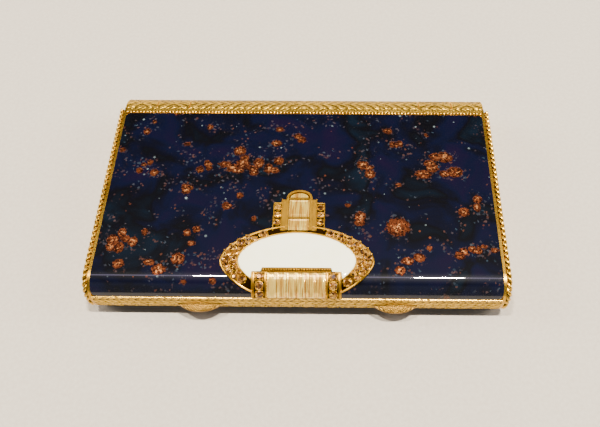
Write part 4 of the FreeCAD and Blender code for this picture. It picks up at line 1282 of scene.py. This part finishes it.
def beadFrame(low, high, z, up, radius, pitch):
    # milgrain round a rectangle, standing on the level z and facing up or down
    shape = Shape()
    for x in spread(low.x, high.x, pitch):
        for y in (low.y, high.y):
            shape.add(*bead(Vector((x, y, z)), Vector((0, 0, up)), radius))
    for y in spread(low.y, high.y, pitch)[1:-1]:
        for x in (low.x, high.x):
            shape.add(*bead(Vector((x, y, z)), Vector((0, 0, up)), radius))
    return shape


frameLow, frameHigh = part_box("mirror_frame")
inset = Vector((0.6, 0.6, 0)) * mm
makePiece("mirror_beading",
          beadFrame(frameLow + inset, frameHigh - inset, frameLow.z, -1, 0.26 * mm, 0.8 * mm),
          polishedGold, "lid")
wellRim = Vector((0.1, 0.1, 0)) * mm
makePiece("well_beading", beadFrame(wellLow + wellRim, wellHigh - wellRim, coverLow.z - 0.2 * mm,
                                    1, 0.26 * mm, 0.8 * mm), polishedGold, "base")

# moulded lipstick with a slanted face and a rounded edge
stickLook = {"sides": 40, "slant": 5.0 * mm, "low": 2.1 * mm, "round": 0.9 * mm, "step": 0.3 * mm}
stickLow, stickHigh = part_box("lipstick_stick")
stickRadius = (stickHigh.y - stickLow.y) / 2
stickAxis = (stickHigh.y + stickLow.y) / 2, stickLow.z + stickRadius
loops = []
for x in spread(stickLow.x, stickHigh.x, stickLook["step"]):
    left = stickHigh.x - x
    ceiling = -stickLook["low"] + (stickRadius + stickLook["low"]) * left / stickLook["slant"]
    near = max(0.0, 1 - left / stickLook["round"])
    radius = stickRadius * (0.82 + 0.18 * math.sqrt(max(0.0, 1 - near ** 2)))
    loop = []
    for k in range(stickLook["sides"]):
        a = 2 * math.pi * k / stickLook["sides"]
        up = min(radius * math.sin(a), ceiling)
        loop.append(Vector((x, stickAxis[0] + radius * math.cos(a), stickAxis[1] + up)))
    loops.append(loop)
makePiece("stick_moulded", Shape().add(*loft(loops)), lipWax, "lipstick",
          ("lipstick_stick",), sharp=40)

# turned rings on the lipstick tube, clear of its two rests
bandLook = {"places": (-44.6, -43.9, -32.5, -31.8, 6.4, 7.1, 11.3, 12.0), "radius": 0.16 * mm}
tubeLow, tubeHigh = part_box("lipstick_tube")
tubeRadius = (tubeHigh.z - tubeLow.z) / 2
bands = Shape()
for x in bandLook["places"]:
    spin = [2 * math.pi * k / 48 for k in range(48)]
    ring = [Vector((x * mm, (tubeLow.y + tubeHigh.y) / 2 + tubeRadius * math.cos(a),
                    (tubeLow.z + tubeHigh.z) / 2 + tubeRadius * math.sin(a))) for a in spin]
    bands.add(*tube(ring, [Vector((1, 0, 0))] * 48, bandLook["radius"], 8, ring=True))
makePiece("tube_bands", bands, polishedGold, "lipstick_holder")
print("inside made")

# materials of the carried-over CAD nodes

nodeFinish = {
    polishedGold: ("lid_shell", "base_shell", "mirror_frame", "lipstick_cup", "lipstick_end_cap",
                   "lipstick_slide_knob",
                   "catch_latch_left", "catch_latch_right", "lid_strike_left", "lid_strike_right",
                   "tube_rest_left", "tube_rest_right"),
    brushedGold: ("interior_deck", "powder_cover", "powder_pan", "puff_well", "lipstick_tube",
                  "catch_housing_left", "catch_housing_right"),
    springSteel: ("powder_cover_pin",),
    mirrorGlass: ("mirror_glass",),
    facePowder: ("powder_cake",),
    lipWax: ("lipstick_stick",),
}
for material, names in nodeFinish.items():
    for name in names:
        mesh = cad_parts[name].data
        mesh.materials.clear()
        mesh.materials.append(material)
print("CAD nodes finished")

low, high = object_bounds()
